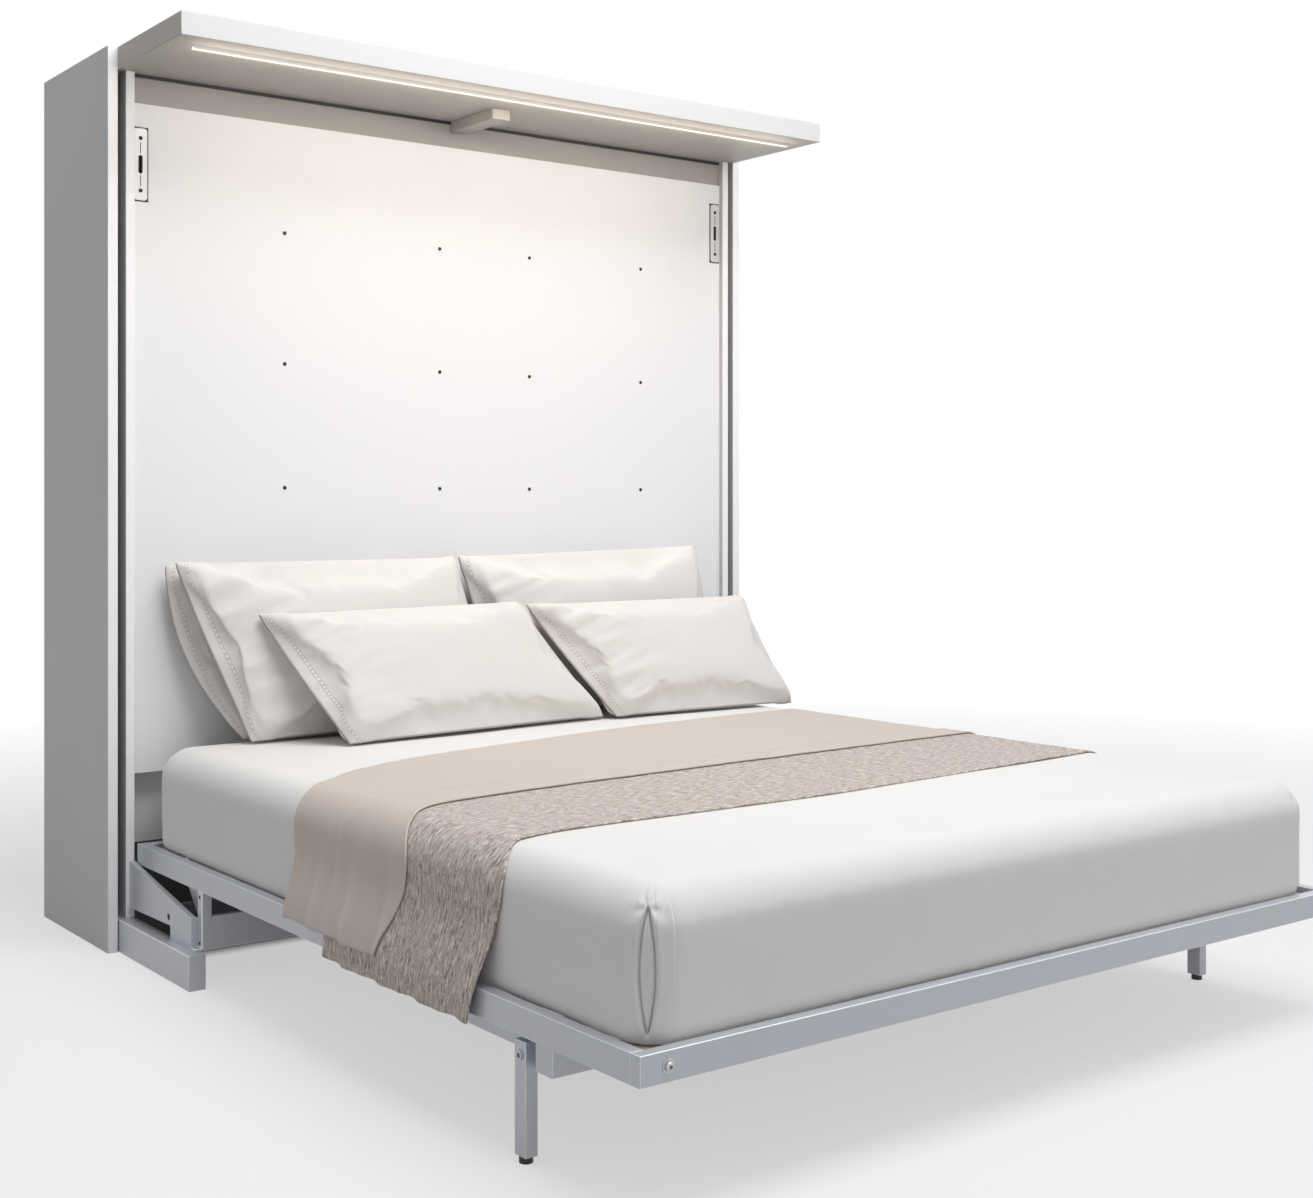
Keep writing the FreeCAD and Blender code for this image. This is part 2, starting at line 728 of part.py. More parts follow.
# Bed frame: hollow rails with solid inserts where the pivot pins run
def build_bed_frame():
    ends = (("head_rail", f"-{HEAD_RAIL_INNER}"), ("foot_rail", f"-{BED_REACH}"))
    for name, y in ends:
        square_tube(
            f"-{RAIL_OUTER}", y, "rail_underside",
            f"2 * {RAIL_OUTER}", "rail_width", "rail_height",
            "rail_wall", "X", name,
        )
    insert_front = "-(pivot_setback + pivot_insert_length / 2)"
    insert_rear = "-(pivot_setback - pivot_insert_length / 2)"
    for name, side in SIDES:
        x = start(side, RAIL_INNER, RAIL_OUTER)
        rail = box(
            x, f"-{FOOT_RAIL_INNER}", "rail_underside",
            "rail_width", f"{FOOT_RAIL_INNER} - {HEAD_RAIL_INNER}", "rail_height",
        )
        hollows = [
            box(
                f"{x} + rail_wall", f"-{FOOT_RAIL_INNER} - cut_overrun",
                "rail_underside + rail_wall",
                "rail_width - 2 * rail_wall",
                f"{FOOT_RAIL_INNER} + cut_overrun + {insert_front}",
                "rail_height - 2 * rail_wall",
            ),
            box(
                f"{x} + rail_wall", insert_rear, "rail_underside + rail_wall",
                "rail_width - 2 * rail_wall",
                f"-{HEAD_RAIL_INNER} + cut_overrun - ({insert_rear})",
                "rail_height - 2 * rail_wall",
            ),
            rod(
                start(side, f"{RAIL_INNER} - cut_overrun", f"{RAIL_OUTER} - rail_wall"),
                "-pivot_setback", "pivot_height",
                "pivot_pin_radius + pivot_pin_clearance",
                "rail_width - rail_wall + cut_overrun", "X",
            ),
        ]
        cut(rail, hollows, f"{name}_side_rail")


# Corner brackets inside the frame, with washers and bolts through the end rails
def build_corners():
    brackets = []
    bolts = []
    bolt_z = "rail_underside + rail_height / 2"
    foot_face = f"-{BED_REACH}"
    for name, side in SIDES:
        x = start(side, f"{RAIL_INNER} - corner_bracket_length", RAIL_INNER)
        wall_x = start(side, f"{RAIL_INNER} - corner_bracket_wall", RAIL_INNER)
        for y, wall_y in (
            (f"-{FOOT_RAIL_INNER}", f"-{FOOT_RAIL_INNER}"),
            (
                f"-{HEAD_RAIL_INNER} - corner_bracket_wall",
                f"-{HEAD_RAIL_INNER} - end_gap",
            ),
        ):
            along_end = box(
                x, y, "rail_underside",
                "corner_bracket_length", "corner_bracket_wall", "deck_rail_height",
            )
            along_side = box(
                wall_x, wall_y, "rail_underside",
                "corner_bracket_wall", "end_gap", "deck_rail_height",
            )
            brackets.append(joined([along_end, along_side]))
        bolt_x = f"({side}) * ({RAIL_OUTER} - corner_bolt_inset)"
        washer = rod(
            bolt_x, f"{foot_face} - corner_washer_thickness", bolt_z,
            "corner_washer_radius", "corner_washer_thickness", "Y",
        )
        head = rod(
            bolt_x, f"{foot_face} - corner_washer_thickness - bolt_head_height", bolt_z,
            "corner_bolt_head_radius", "bolt_head_height", "Y",
        )
        bolts.append(joined([washer, head]))
    grouped(brackets, "corner_brackets")
    grouped(bolts, "corner_bolts")


# Deck: three rails along the bed carry the slats
SLAT_COUNT = 13


def build_deck():
    deck_length = f"{FOOT_RAIL_INNER} - {HEAD_RAIL_INNER}"
    for name, offset in (
        ("left_deck_rail", "-deck_rail_offset"),
        ("centre_deck_rail", "0"),
        ("right_deck_rail", "deck_rail_offset"),
    ):
        square_tube(
            f"{offset} - deck_rail_width / 2", f"-{FOOT_RAIL_INNER}", "rail_underside",
            "deck_rail_width", deck_length, "deck_rail_height",
            "deck_rail_wall", "Y", name,
        )
    slats = []
    span = f"({deck_length} - 2 * slat_end_margin - slat_width)"
    for index in range(SLAT_COUNT):
        place_share = index / (SLAT_COUNT - 1)
        slats.append(box(
            f"-({MATTRESS_SIDE} - slat_inset)",
            f"-{FOOT_RAIL_INNER} + slat_end_margin + {span} * {place_share:.6f}", DECK_TOP,
            f"2 * ({MATTRESS_SIDE} - slat_inset)", "slat_width", "slat_thickness",
        ))
    grouped(slats, "slats")


# Folding legs near the foot, on brackets below the side rails
def build_legs():
    square_tube(
        f"-({RAIL_OUTER} - leg_bracket_thickness)",
        f"-({CROSS_REAR} + cross_member_width)", CROSS_UNDERSIDE,
        f"2 * ({RAIL_OUTER} - leg_bracket_thickness)",
        "cross_member_width", "cross_member_height",
        "cross_member_wall", "X", "leg_cross_member",
    )
    bracket_top = f"({MATTRESS_UNDERSIDE} - leg_bracket_top_margin)"
    leg_rear = f"({LEG_SETBACK} - leg_depth / 2)"
    for name, side in SIDES:
        bracket_x = f"({side}) * ({RAIL_INNER} - leg_bracket_thickness)"
        body = plate_body(f"{name}_leg_bracket", bracket_x)
        cheek = outline(body, "YZ_Plane", (
            (f"-{CROSS_REAR}", "leg_hinge_height - leg_bracket_drop"),
            (f"-{leg_rear}", "leg_hinge_height - leg_bracket_drop"),
            (f"-({leg_rear} - leg_bracket_drop)", "rail_underside - leg_bracket_arm_drop"),
            (f"-({LEG_SETBACK} - leg_bracket_head_reach)", "rail_underside - leg_bracket_arm_drop"),
            (f"-({LEG_SETBACK} - leg_bracket_head_reach)", bracket_top),
            (f"-{CROSS_REAR}", bracket_top),
        ))
        pad(body, cheek, "leg_bracket_thickness", side)
        hole = circle(
            body, "YZ_Plane", f"-{LEG_SETBACK}", "leg_hinge_height", "leg_pin_radius",
        )
        pocket(body, hole, "leg_bracket_thickness + cut_overrun", side)
        leg_x = start(side, LEG_INNER, LEG_OUTER)
        leg_top = "(leg_hinge_height + leg_top_reach)"
        leg = square_tube(
            leg_x, f"-({LEG_SETBACK} + leg_depth / 2)", "glide_height",
            "leg_width", "leg_depth", f"{leg_top} - glide_height",
            "leg_wall", "Z",
        )
        bore = rod(
            start(side, f"{LEG_INNER} - cut_overrun", f"{LEG_OUTER} + cut_overrun"),
            f"-{LEG_SETBACK}", "leg_hinge_height",
            "leg_pin_radius + leg_pin_clearance", "leg_width + 2 * cut_overrun", "X",
        )
        cut(leg, [bore], f"{name}_leg")
        head = rod(
            start(side, f"{LEG_OUTER} + leg_side_gap",
                  f"{LEG_OUTER} + leg_side_gap + leg_pin_head_height"),
            f"-{LEG_SETBACK}", "leg_hinge_height",
            "leg_pin_head_radius", "leg_pin_head_height", "X",
        )
        shank = rod(
            start(side, f"{RAIL_INNER} - leg_bracket_thickness", f"{LEG_OUTER} + leg_side_gap"),
            f"-{LEG_SETBACK}", "leg_hinge_height",
            "leg_pin_radius",
            "leg_bracket_thickness + leg_width + 2 * leg_side_gap", "X",
        )
        joined([head, shank], f"{name}_leg_pin")
        foot = rod(
            f"({side}) * ({LEG_INNER} + leg_width / 2)", f"-{LEG_SETBACK}", "0",
            "glide_radius", "glide_height", "Z",
        )
        inset = "(leg_wall + glide_plug_gap)"
        plug = box(
            f"{leg_x} + {inset}", f"-({LEG_SETBACK} + leg_depth / 2) + {inset}", "glide_height",
            f"leg_width - 2 * {inset}", f"leg_depth - 2 * {inset}", "glide_plug_height",
        )
        joined([foot, plug], f"{name}_leg_glide")


# Mattress: a block with all its edges rounded
def build_mattress():
    body = doc.addObject("PartDesign::Body", "Mattress")
    bind(body, base_y=CENTRE_SHIFT, base_z=MATTRESS_UNDERSIDE)
    node(body, "mattress")
    plan = outline(body, "XY_Plane", (
        (f"-{MATTRESS_SIDE}", f"-{MATTRESS_FOOT}"),
        (MATTRESS_SIDE, f"-{MATTRESS_FOOT}"),
        (MATTRESS_SIDE, f"-{MATTRESS_HEAD}"),
        (f"-{MATTRESS_SIDE}", f"-{MATTRESS_HEAD}"),
    ))
    block = pad(body, plan, "mattress_thickness", 1)
    doc.recompute()
    rounding = body.newObject("PartDesign::Fillet", "Rounding")
    edges = [f"Edge{number}" for number in range(1, len(block.Shape.Edges) + 1)]
    rounding.Base = (block, edges)
    bind(rounding, Radius="mattress_edge_radius")


# Sections of a pillow: place along the width, height and thickness, as shares of the full ones
PILLOW_SECTION_SHARES = (
    (0.00, 0.95, 0.04),
    (0.05, 0.98, 0.30),
    (0.18, 0.97, 0.72),
    (0.36, 0.95, 0.95),
    (0.50, 0.94, 1.00),
    (0.64, 0.95, 0.95),
    (0.82, 0.97, 0.72),
    (0.95, 0.98, 0.30),
    (1.00, 0.95, 0.04),
)


def pillow_section(along, height, thickness, seam):
    """A lens between two seam edges, drawn in the plane across the pillow's width."""
    half = height / 2
    rim = seam / 2
    low_front = FreeCAD.Vector(along, -rim, -half)
    high_front = FreeCAD.Vector(along, -rim, half)
    high_back = FreeCAD.Vector(along, rim, half)
    low_back = FreeCAD.Vector(along, rim, -half)
    belly = rim + thickness / 2
    edges = [
        Part.Arc(low_front, FreeCAD.Vector(along, -belly, 0), high_front).toShape(),
        Part.LineSegment(high_front, high_back).toShape(),
        Part.Arc(high_back, FreeCAD.Vector(along, belly, 0), low_back).toShape(),
        Part.LineSegment(low_back, low_front).toShape(),
    ]
    return Part.Wire(edges)


def pillow_shape(width, height, thickness):
    """A pillow that stands on its long edge, with its crown in the middle."""
    seam = size("pillow_seam")
    sections = []
    for along_share, height_share, thickness_share in PILLOW_SECTION_SHARES:
        along = (along_share - 1 / 2) * width
        sections.append(pillow_section(
            along, height * height_share, (thickness - seam) * thickness_share, seam,
        ))
    return Part.makeLoft(sections, True, False)


# The five pillows: middle across the bed as a share of the pillow width, middle out from the head
# end of the mattress as a share of the pillow height, and thickness as a share
PILLOW_PLACE_SHARES = {
    "rear_left_pillow": (-0.715, 0.002, 0.55),
    "middle_left_pillow": (-0.681, 0.172, 0.60),
    "rear_right_pillow": (0.528, 0.055, 0.90),
    "front_left_pillow": (-0.308, 0.480, 1.00),
    "front_right_pillow": (0.705, 0.445, 1.00),
}

# How far each pillow leans back from upright, in degrees
PILLOW_LEANS = {
    "rear_left_pillow": 13.0,
    "middle_left_pillow": 14.0,
    "rear_right_pillow": 13.0,
    "front_left_pillow": 33.0,
    "front_right_pillow": 32.0,
}


def build_pillows():
    width = size("pillow_width")
    height = size("pillow_height")
    for label, (across_share, out_share, thickness_share) in PILLOW_PLACE_SHARES.items():
        shape = pillow_shape(width, height, size("pillow_thickness") * thickness_share)
        turn = FreeCAD.Rotation(FreeCAD.Vector(1, 0, 0), -PILLOW_LEANS[label])
        leaning = shape.copy()
        leaning.Placement = FreeCAD.Placement(FreeCAD.Vector(), turn)
        lowest = leaning.optimalBoundingBox(False).ZMin
        pillow = doc.addObject("Part::Feature", "Pillow")
        pillow.Shape = shape
        place = FreeCAD.Vector(
            width * across_share,
            size(f"{CENTRE_SHIFT} - {MATTRESS_HEAD}") - height * out_share,
            size(f"{MATTRESS_TOP} + soft_gap") - lowest,
        )
        pillow.Placement = FreeCAD.Placement(place, turn)
        node(pillow, label)


# Plan outlines of the two throws: across the bed as shares of its width, and out from the head end
# of the mattress as shares of its length; they slip towards the foot on the left side
PLAIN_HEAD_EDGE_SHARES = (
    (-0.60, 0.400), (-0.47, 0.385), (-0.38, 0.320), (-0.10, 0.245), (0.60, 0.215),
)
PLAIN_FOOT_EDGE_SHARES = (
    (0.60, 0.560), (-0.10, 0.560), (-0.38, 0.585), (-0.47, 0.640), (-0.60, 0.655),
)
KNIT_FOOT_EDGE_SHARES = (
    (0.60, 0.770), (-0.10, 0.770), (-0.38, 0.780), (-0.47, 0.805), (-0.60, 0.800),
)


def throw_profile(thickness, gap):
    """The band that a throw fills across the bed: over the top, round the edges and down the sides."""
    side = size(MATTRESS_SIDE) + gap
    top = size(MATTRESS_TOP) + gap
    radius = size("mattress_edge_radius") + gap
    hang = size(RAIL_OUTER) + gap
    flare = size("throw_flare")
    flare_start = size("rail_underside + rail_height + throw_flare / 2")
    hem = size(f"{MATTRESS_TOP} - throw_drop")

    def half_run(direction, offset):
        """One face from its hem up to where it turns onto the top, and that last point."""
        across = direction * (side + offset)
        outside = direction * (hang + offset)
        slant = (radius + offset) * math.sqrt(1 / 2)
        points = (
            FreeCAD.Vector(outside, 0, hem),
            FreeCAD.Vector(outside, 0, flare_start + offset),
            FreeCAD.Vector(across, 0, flare_start + flare + offset),
            FreeCAD.Vector(across, 0, top - radius),
            FreeCAD.Vector(direction * (side - radius + slant), 0, top - radius + slant),
            FreeCAD.Vector(direction * (side - radius), 0, top + offset),
        )
        lines = [
            Part.LineSegment(points[0], points[1]).toShape(),
            Part.LineSegment(points[1], points[2]).toShape(),
            Part.LineSegment(points[2], points[3]).toShape(),
            Part.Arc(points[3], points[4], points[5]).toShape(),
        ]
        return points[0], lines, points[5]

    every = []
    hems = []
    for offset in (0, thickness):
        left_hem, left_lines, left_top = half_run(-1, offset)
        right_hem, right_lines, right_top = half_run(1, offset)
        every += left_lines + [Part.LineSegment(left_top, right_top).toShape()] + right_lines
        hems.append((left_hem, right_hem))
    for inner, outer in zip(*hems):
        every.append(Part.LineSegment(inner, outer).toShape())
    return Part.Face(Part.Wire(Part.__sortEdges__(every)))


def throw_shape(plan_shares):
    """The band along the bed, trimmed to a plan outline."""
    length = size("mattress_length")
    band = throw_profile(size("throw_thickness"), size("soft_gap"))
    band = band.extrude(FreeCAD.Vector(0, -length, 0))
    corners = []
    for across_share, out_share in plan_shares:
        corners.append(FreeCAD.Vector(
            across_share * size("mattress_width"), -out_share * length, 0,
        ))
    corners.append(corners[0])
    plan = Part.Face(Part.makePolygon(corners))
    prism = plan.extrude(FreeCAD.Vector(0, 0, 2 * size(MATTRESS_TOP)))
    return band.common(prism)


def build_throws():
    gap_share = size("throw_gap") / size("mattress_length")
    knit_head = [(across, out + gap_share) for across, out in PLAIN_FOOT_EDGE_SHARES[::-1]]
    plans = (
        ("plain_throw", PLAIN_HEAD_EDGE_SHARES + PLAIN_FOOT_EDGE_SHARES),
        ("knitted_throw", tuple(knit_head) + KNIT_FOOT_EDGE_SHARES),
    )
    for label, plan_shares in plans:
        throw = doc.addObject("Part::Feature", "Throw")
        throw.Shape = throw_shape(plan_shares)
        place = FreeCAD.Vector(0, size(f"{CENTRE_SHIFT} - {MATTRESS_HEAD}"), 0)
        throw.Placement = FreeCAD.Placement(place, FreeCAD.Rotation())
        node(throw, label)


build_boards()
build_back_board()
build_canopy()
build_rear_rails()
build_anchor_plates()
build_runners()
build_posts()
build_gussets()
build_pivots()
build_bed_frame()
build_corners()
build_deck()
build_legs()
build_mattress()
build_pillows()
build_throws()
doc.recompute()

for thing in doc.Objects:
    if "Invalid" in thing.State or "Error" in thing.State:
        raise RuntimeError(f"{thing.Label} ({thing.Name}) failed: {thing.State}")
for thing in NODES:
    if thing.Shape.isNull() or not thing.Shape.isValid():
        raise RuntimeError(f"{thing.Label} has no valid shape")

os.makedirs("parts", exist_ok=True)
for thing in NODES:
    thing.Shape.exportStep(os.path.join("parts", f"{thing.Label}.step"))
print(len(NODES), "nodes")
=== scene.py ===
import json
import math

import bmesh
import bpy
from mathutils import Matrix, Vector, noise

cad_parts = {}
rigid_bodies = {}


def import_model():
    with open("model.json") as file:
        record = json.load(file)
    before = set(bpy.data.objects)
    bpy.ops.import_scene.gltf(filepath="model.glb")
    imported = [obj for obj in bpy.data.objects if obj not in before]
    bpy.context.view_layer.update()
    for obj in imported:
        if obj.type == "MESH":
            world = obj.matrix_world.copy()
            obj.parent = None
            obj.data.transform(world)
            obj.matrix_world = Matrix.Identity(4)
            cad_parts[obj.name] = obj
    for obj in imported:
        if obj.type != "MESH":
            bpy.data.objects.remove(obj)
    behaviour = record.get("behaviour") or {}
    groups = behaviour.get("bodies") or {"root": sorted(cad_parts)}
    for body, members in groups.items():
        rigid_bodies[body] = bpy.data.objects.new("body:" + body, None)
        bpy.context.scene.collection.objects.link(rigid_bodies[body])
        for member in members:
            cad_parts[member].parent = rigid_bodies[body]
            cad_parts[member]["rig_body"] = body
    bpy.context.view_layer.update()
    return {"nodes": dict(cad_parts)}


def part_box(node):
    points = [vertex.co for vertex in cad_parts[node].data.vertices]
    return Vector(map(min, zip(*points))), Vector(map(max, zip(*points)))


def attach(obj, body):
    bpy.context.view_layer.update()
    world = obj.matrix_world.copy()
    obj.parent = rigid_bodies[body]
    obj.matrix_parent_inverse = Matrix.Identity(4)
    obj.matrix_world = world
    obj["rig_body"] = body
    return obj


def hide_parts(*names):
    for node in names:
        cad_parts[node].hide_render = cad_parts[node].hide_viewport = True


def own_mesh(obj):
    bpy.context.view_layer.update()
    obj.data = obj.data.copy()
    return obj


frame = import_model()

# Camera
# Stands left of the foot of the bed and looks level at the cabinet; the frame is slid down a
# little, as in the photograph, so that the upright edges stay upright.
FRAME_WIDTH_PIXELS = 1313
FOCAL_PIXELS = 1737.6
HORIZON_RISE_PIXELS = 96.75
CAMERA_PLACE = (-2.508, -3.386, 1.103)
CAMERA_TURN_DEGREES = -37.26
SENSOR_WIDTH = 36.0


def scene_object(name, data):
    """An object for a mesh, a lamp or the camera, linked into the scene."""
    made = bpy.data.objects.new(name, data)
    bpy.context.scene.collection.objects.link(made)
    return made


camera_data = bpy.data.cameras.new("camera")
camera_data.sensor_fit = "HORIZONTAL"
camera_data.sensor_width = SENSOR_WIDTH
camera_data.lens = FOCAL_PIXELS / FRAME_WIDTH_PIXELS * SENSOR_WIDTH
camera_data.shift_y = -HORIZON_RISE_PIXELS / FRAME_WIDTH_PIXELS
camera = scene_object("camera", camera_data)
camera.location = CAMERA_PLACE
camera.rotation_euler = (math.pi / 2, 0, math.radians(CAMERA_TURN_DEGREES))
bpy.context.scene.camera = camera


# Cabinet boards
# Side panels, uprights and the boards behind the bed are chipboard with a light grey lacquer and
# white edge bands on their front edges. Each board's arrises are eased by a millimetre. Their colours
# hold painted light: the faces get a darker grey as painted shade, and the faces towards the front a
# white that is partly the edge band and partly painted light.
BOARD_SHADED_FACE = (0.535, 0.535, 0.55)
BOARD_LIT_EDGE_BAND = (0.92, 0.92, 0.93)
# Painted shade: the header board's dark warm grey stands for the shaded band below the canopy.
HEADER_PAINTED_SHADE = (0.40, 0.385, 0.37)
# Roughness, metalness, change of colour, and the scale and depth of the peel
BOARD_LACQUER = (0.42, 0.0, 0.035, 420.0, 0.0004)
HEADER_LACQUER = (0.5, 0.0, 0.05, 420.0, 0.0004)
PATCH_SCALE = 2.3
COAT_GLOSS_SPREAD = (-0.05, 0.06)
PEEL_STRENGTH = 0.35
BOARD_EASE = 0.0012
WELD = 0.00002
FLAT_DEGREES = 1.0
SHARP_DEGREES = 30.0


def bevel(mesh, edges, offset, segments=2):
    """Round edges over."""
    return bmesh.ops.bevel(
        mesh, geom=edges, offset=offset, offset_type="OFFSET", affect="EDGES", segments=segments,
        profile=0.5, material=-1, clamp_overlap=True,
    )


def edges_over(mesh, degrees):
    """The edges whose faces meet at more than an angle."""
    return [
        edge for edge in mesh.edges
        if len(edge.link_faces) == 2 and edge.calc_face_angle() > math.radians(degrees)
    ]


def welded_copy(name):
    """A CAD node's mesh with its loose triangles joined."""
    mesh = bmesh.new()
    mesh.from_mesh(frame["nodes"][name].data)
    bmesh.ops.remove_doubles(mesh, verts=mesh.verts, dist=WELD)
    return mesh


def eased_copy(name, radius, segments):
    """A copy of a CAD node with its edges rounded over and marked on a map of their own."""
    mesh = welded_copy(name)
    bmesh.ops.dissolve_limit(
        mesh, angle_limit=math.radians(FLAT_DEGREES), verts=mesh.verts, edges=mesh.edges,
    )
    edge_map = mesh.loops.layers.uv.new("edge")
    made = bevel(mesh, edges_over(mesh, SHARP_DEGREES), radius, segments)
    for faces, mark in ((mesh.faces, 0.0), (made["faces"], 1.0)):
        for face in faces:
            for loop in face.loops:
                loop[edge_map].uv = (mark, 0.0)
    for face in made["faces"]:
        face.smooth = True
    return mesh


def finished_data(mesh, name):
    data = bpy.data.meshes.new(name)
    mesh.to_mesh(data)
    mesh.free()
    return data


def add_piece(mesh, name, body, material, stands_for=()):
    """Turn a finished mesh into a piece that rides on a body."""
    piece = scene_object(name, finished_data(mesh, name))
    piece.data.materials.append(material)
    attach(piece, body)
    if stands_for:
        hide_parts(*stands_for)
    return piece


def ease(names, radius, material, segments=2):
    """Replace CAD nodes by copies of them with eased edges."""
    for name in names:
        body = frame["nodes"][name]["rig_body"]
        mesh = eased_copy(name, radius, segments)
        add_piece(mesh, f"{name}_eased", body, material, (name,))


def dress(names, material):
    """Give CAD nodes, whose shape stays, a material."""
    for name in names:
        data = frame["nodes"][name].data
        data.materials.clear()
        data.materials.append(material)


def new_material(name, roughness, metallic=0.0, **sockets):
    """A material with the values that are the same all over, and its node tree."""
    material = bpy.data.materials.new(name)
    material.use_nodes = True
    given = {"Roughness": roughness, "Metallic": metallic}
    given.update((socket.replace("_", " "), value) for socket, value in sockets.items())
    for socket, value in given.items():
        material.node_tree.nodes["Principled BSDF"].inputs[socket].default_value = value
    return material, material.node_tree


def add_node(tree, kind, inputs=None, **settings):
    """A node with its settings, and its inputs linked or set."""
    made = tree.nodes.new(kind)
    for key, value in settings.items():
        setattr(made, key, value)
    for key, value in (inputs or {}).items():
        if isinstance(value, bpy.types.NodeSocket):
            tree.links.new(value, made.inputs[key])
        else:
            made.inputs[key].default_value = value
    return made


def feed(tree, socket, value):
    """Link a value that changes over the surface into the material's shader."""
    tree.links.new(value, tree.nodes["Principled BSDF"].inputs[socket])


def coordinates(tree, kind):
    return add_node(tree, "ShaderNodeTexCoord").outputs[kind]


def part_of(tree, vector, axis):
    return add_node(tree, "ShaderNodeSeparateXYZ", {0: vector}).outputs[axis]


def opaque(colour):
    return (*colour, 1.0)


def math_node(tree, operation, first, second=0.0):
    return add_node(tree, "ShaderNodeMath", {0: first, 1: second}, operation=operation).outputs[0]


def map_range(tree, value, from_min=0.0, from_max=1.0, to_min=0.0, to_max=1.0):
    """A value moved from one range to another, and held inside it."""
    return add_node(tree, "ShaderNodeMapRange", {
        "Value": value, "From Min": from_min, "From Max": from_max, "To Min": to_min,
        "To Max": to_max,
    }).outputs[0]


def noise_over(tree, place, scale, detail=2.0, roughness=0.5, distortion=0.0):
    return add_node(tree, "ShaderNodeTexNoise", {
        "Vector": place, "Scale": scale, "Detail": detail, "Roughness": roughness,
        "Distortion": distortion,
    }).outputs["Fac"]


def bump(tree, height, strength, depth):
    """Raise the surface by a height that changes over it, on top of any earlier bump."""
    normal = tree.nodes["Principled BSDF"].inputs["Normal"]
    made = add_node(tree, "ShaderNodeBump", {"Height": height, "Strength": strength, "Distance": depth})
    if normal.is_linked:
        tree.links.new(normal.links[0].from_socket, made.inputs["Normal"])
    tree.links.new(made.outputs[0], normal)


def mix_colour(tree, factor, first, second):
    made = add_node(tree, "ShaderNodeMix", data_type="RGBA")
    for key, value in ((0, factor), (6, first), (7, second)):
        if isinstance(value, bpy.types.NodeSocket):
            tree.links.new(value, made.inputs[key])
        else:
            made.inputs[key].default_value = opaque(value) if key else value
    return made.outputs[2]


def paint_over(material, share, colour):
    """Lay a second colour over a material's own, where the share says so."""
    tree = material.node_tree
    under = tree.nodes["Principled BSDF"].inputs["Base Color"].links[0].from_socket
    feed(tree, "Base Color", mix_colour(tree, share, under, colour))
    return material


def new_group(name, inputs, outputs):
    """An empty node group with named number and vector sockets."""
    group = bpy.data.node_groups.new(name, "ShaderNodeTree")
    for direction, sockets in (("INPUT", inputs), ("OUTPUT", outputs)):
        for socket, kind in sockets:
            group.interface.new_socket(socket, in_out=direction, socket_type=f"NodeSocket{kind}")
    return group, group.nodes.new("NodeGroupInput"), group.nodes.new("NodeGroupOutput")


def speckle_group():
    """Cloudy patches and a fine orange peel, for sprayed and coated surfaces."""
    group, given, result = new_group(
        "speckle",
        (("Vector", "Vector"), ("Patch Scale", "Float"), ("Peel Scale", "Float")),
        (("Patch", "Float"), ("Peel", "Float")),
    )
    for scale, output in (("Patch Scale", "Patch"), ("Peel Scale", "Peel")):
        cloud = noise_over(group, given.outputs["Vector"], given.outputs[scale], 3.0, 0.55)
        group.links.new(cloud, result.inputs[output])
    return group


SPECKLE = speckle_group()


def coated_material(name, colour, roughness, metallic, variation, peel_scale, peel_depth):
    """A lacquer or powder coat: slight clouds in its colour and gloss, and a fine peel."""
    material, tree = new_material(name, roughness, metallic)
    speckle = add_node(tree, "ShaderNodeGroup", {
        "Vector": coordinates(tree, "Object"), "Patch Scale": PATCH_SCALE, "Peel Scale": peel_scale,
    }, node_tree=SPECKLE).outputs
    darker = tuple(channel * (1 - variation) for channel in colour)
    feed(tree, "Base Color", mix_colour(tree, speckle["Patch"], darker, colour))
    shiny, dull = (roughness + change for change in COAT_GLOSS_SPREAD)
    feed(tree, "Roughness", map_range(tree, speckle["Patch"], to_min=shiny, to_max=dull))
    bump(tree, speckle["Peel"], PEEL_STRENGTH, peel_depth)
    return material


def banded_and_lit_front_material(name, colour, lit_edge_colour):
    """Board lacquer darkened on its faces as painted shade, and lighter on faces towards the front: a
    white band there, partly painted light.
    """
    material = coated_material(name, colour, *BOARD_LACQUER)
    tree = material.node_tree
    facing = part_of(tree, coordinates(tree, "Normal"), "Y")
    return paint_over(material, math_node(tree, "LESS_THAN", facing, -0.5), lit_edge_colour)


BANDED_AND_LIT_BOARD = banded_and_lit_front_material("banded_lacquer_with_painted_light", BOARD_SHADED_FACE, BOARD_LIT_EDGE_BAND)
# The rear rails carry the shaded face colour all over: painted shade.
PLAIN_SHADED_BOARD = coated_material("plain_lacquer_in_painted_shade", BOARD_SHADED_FACE, *BOARD_LACQUER)
HEADER_SHADE_BOARD = coated_material("header_lacquer_painted_shade", HEADER_PAINTED_SHADE, *HEADER_LACQUER)
ease(
    ("left_side_panel", "right_side_panel", "left_upright", "right_upright"),
    BOARD_EASE, BANDED_AND_LIT_BOARD,
)
ease(("rear_top_rail", "rear_bottom_rail"), BOARD_EASE, PLAIN_SHADED_BOARD)
ease(("header_board",), BOARD_EASE, HEADER_SHADE_BOARD)


# Back board
# A white satin board that closes the cabinet behind the bed, held by twelve black pan head screws
# with a cross recess. The screws keep their places from the CAD model.
BACK_BOARD_COLOUR = (0.845, 0.848, 0.86)
BACK_LACQUER = (0.48, 0.0, 0.015, 380.0, 0.0003)
# Painted shade: the lower boards turn black below this height, where shade falls under the bed.
LOWER_BOARD_PAINTED_SHADE = (0.05, 0.05, 0.052)
LOWER_BOARD_SHADE_HEIGHT = 0.25
SCREW_COLOUR = (0.035, 0.034, 0.036)
SCREW_OXIDE = (0.38, 0.6, 0.3, 900.0, 0.0001)
BOARD_SCREW_HEIGHT = 0.002
SCREW_SIDES = 32
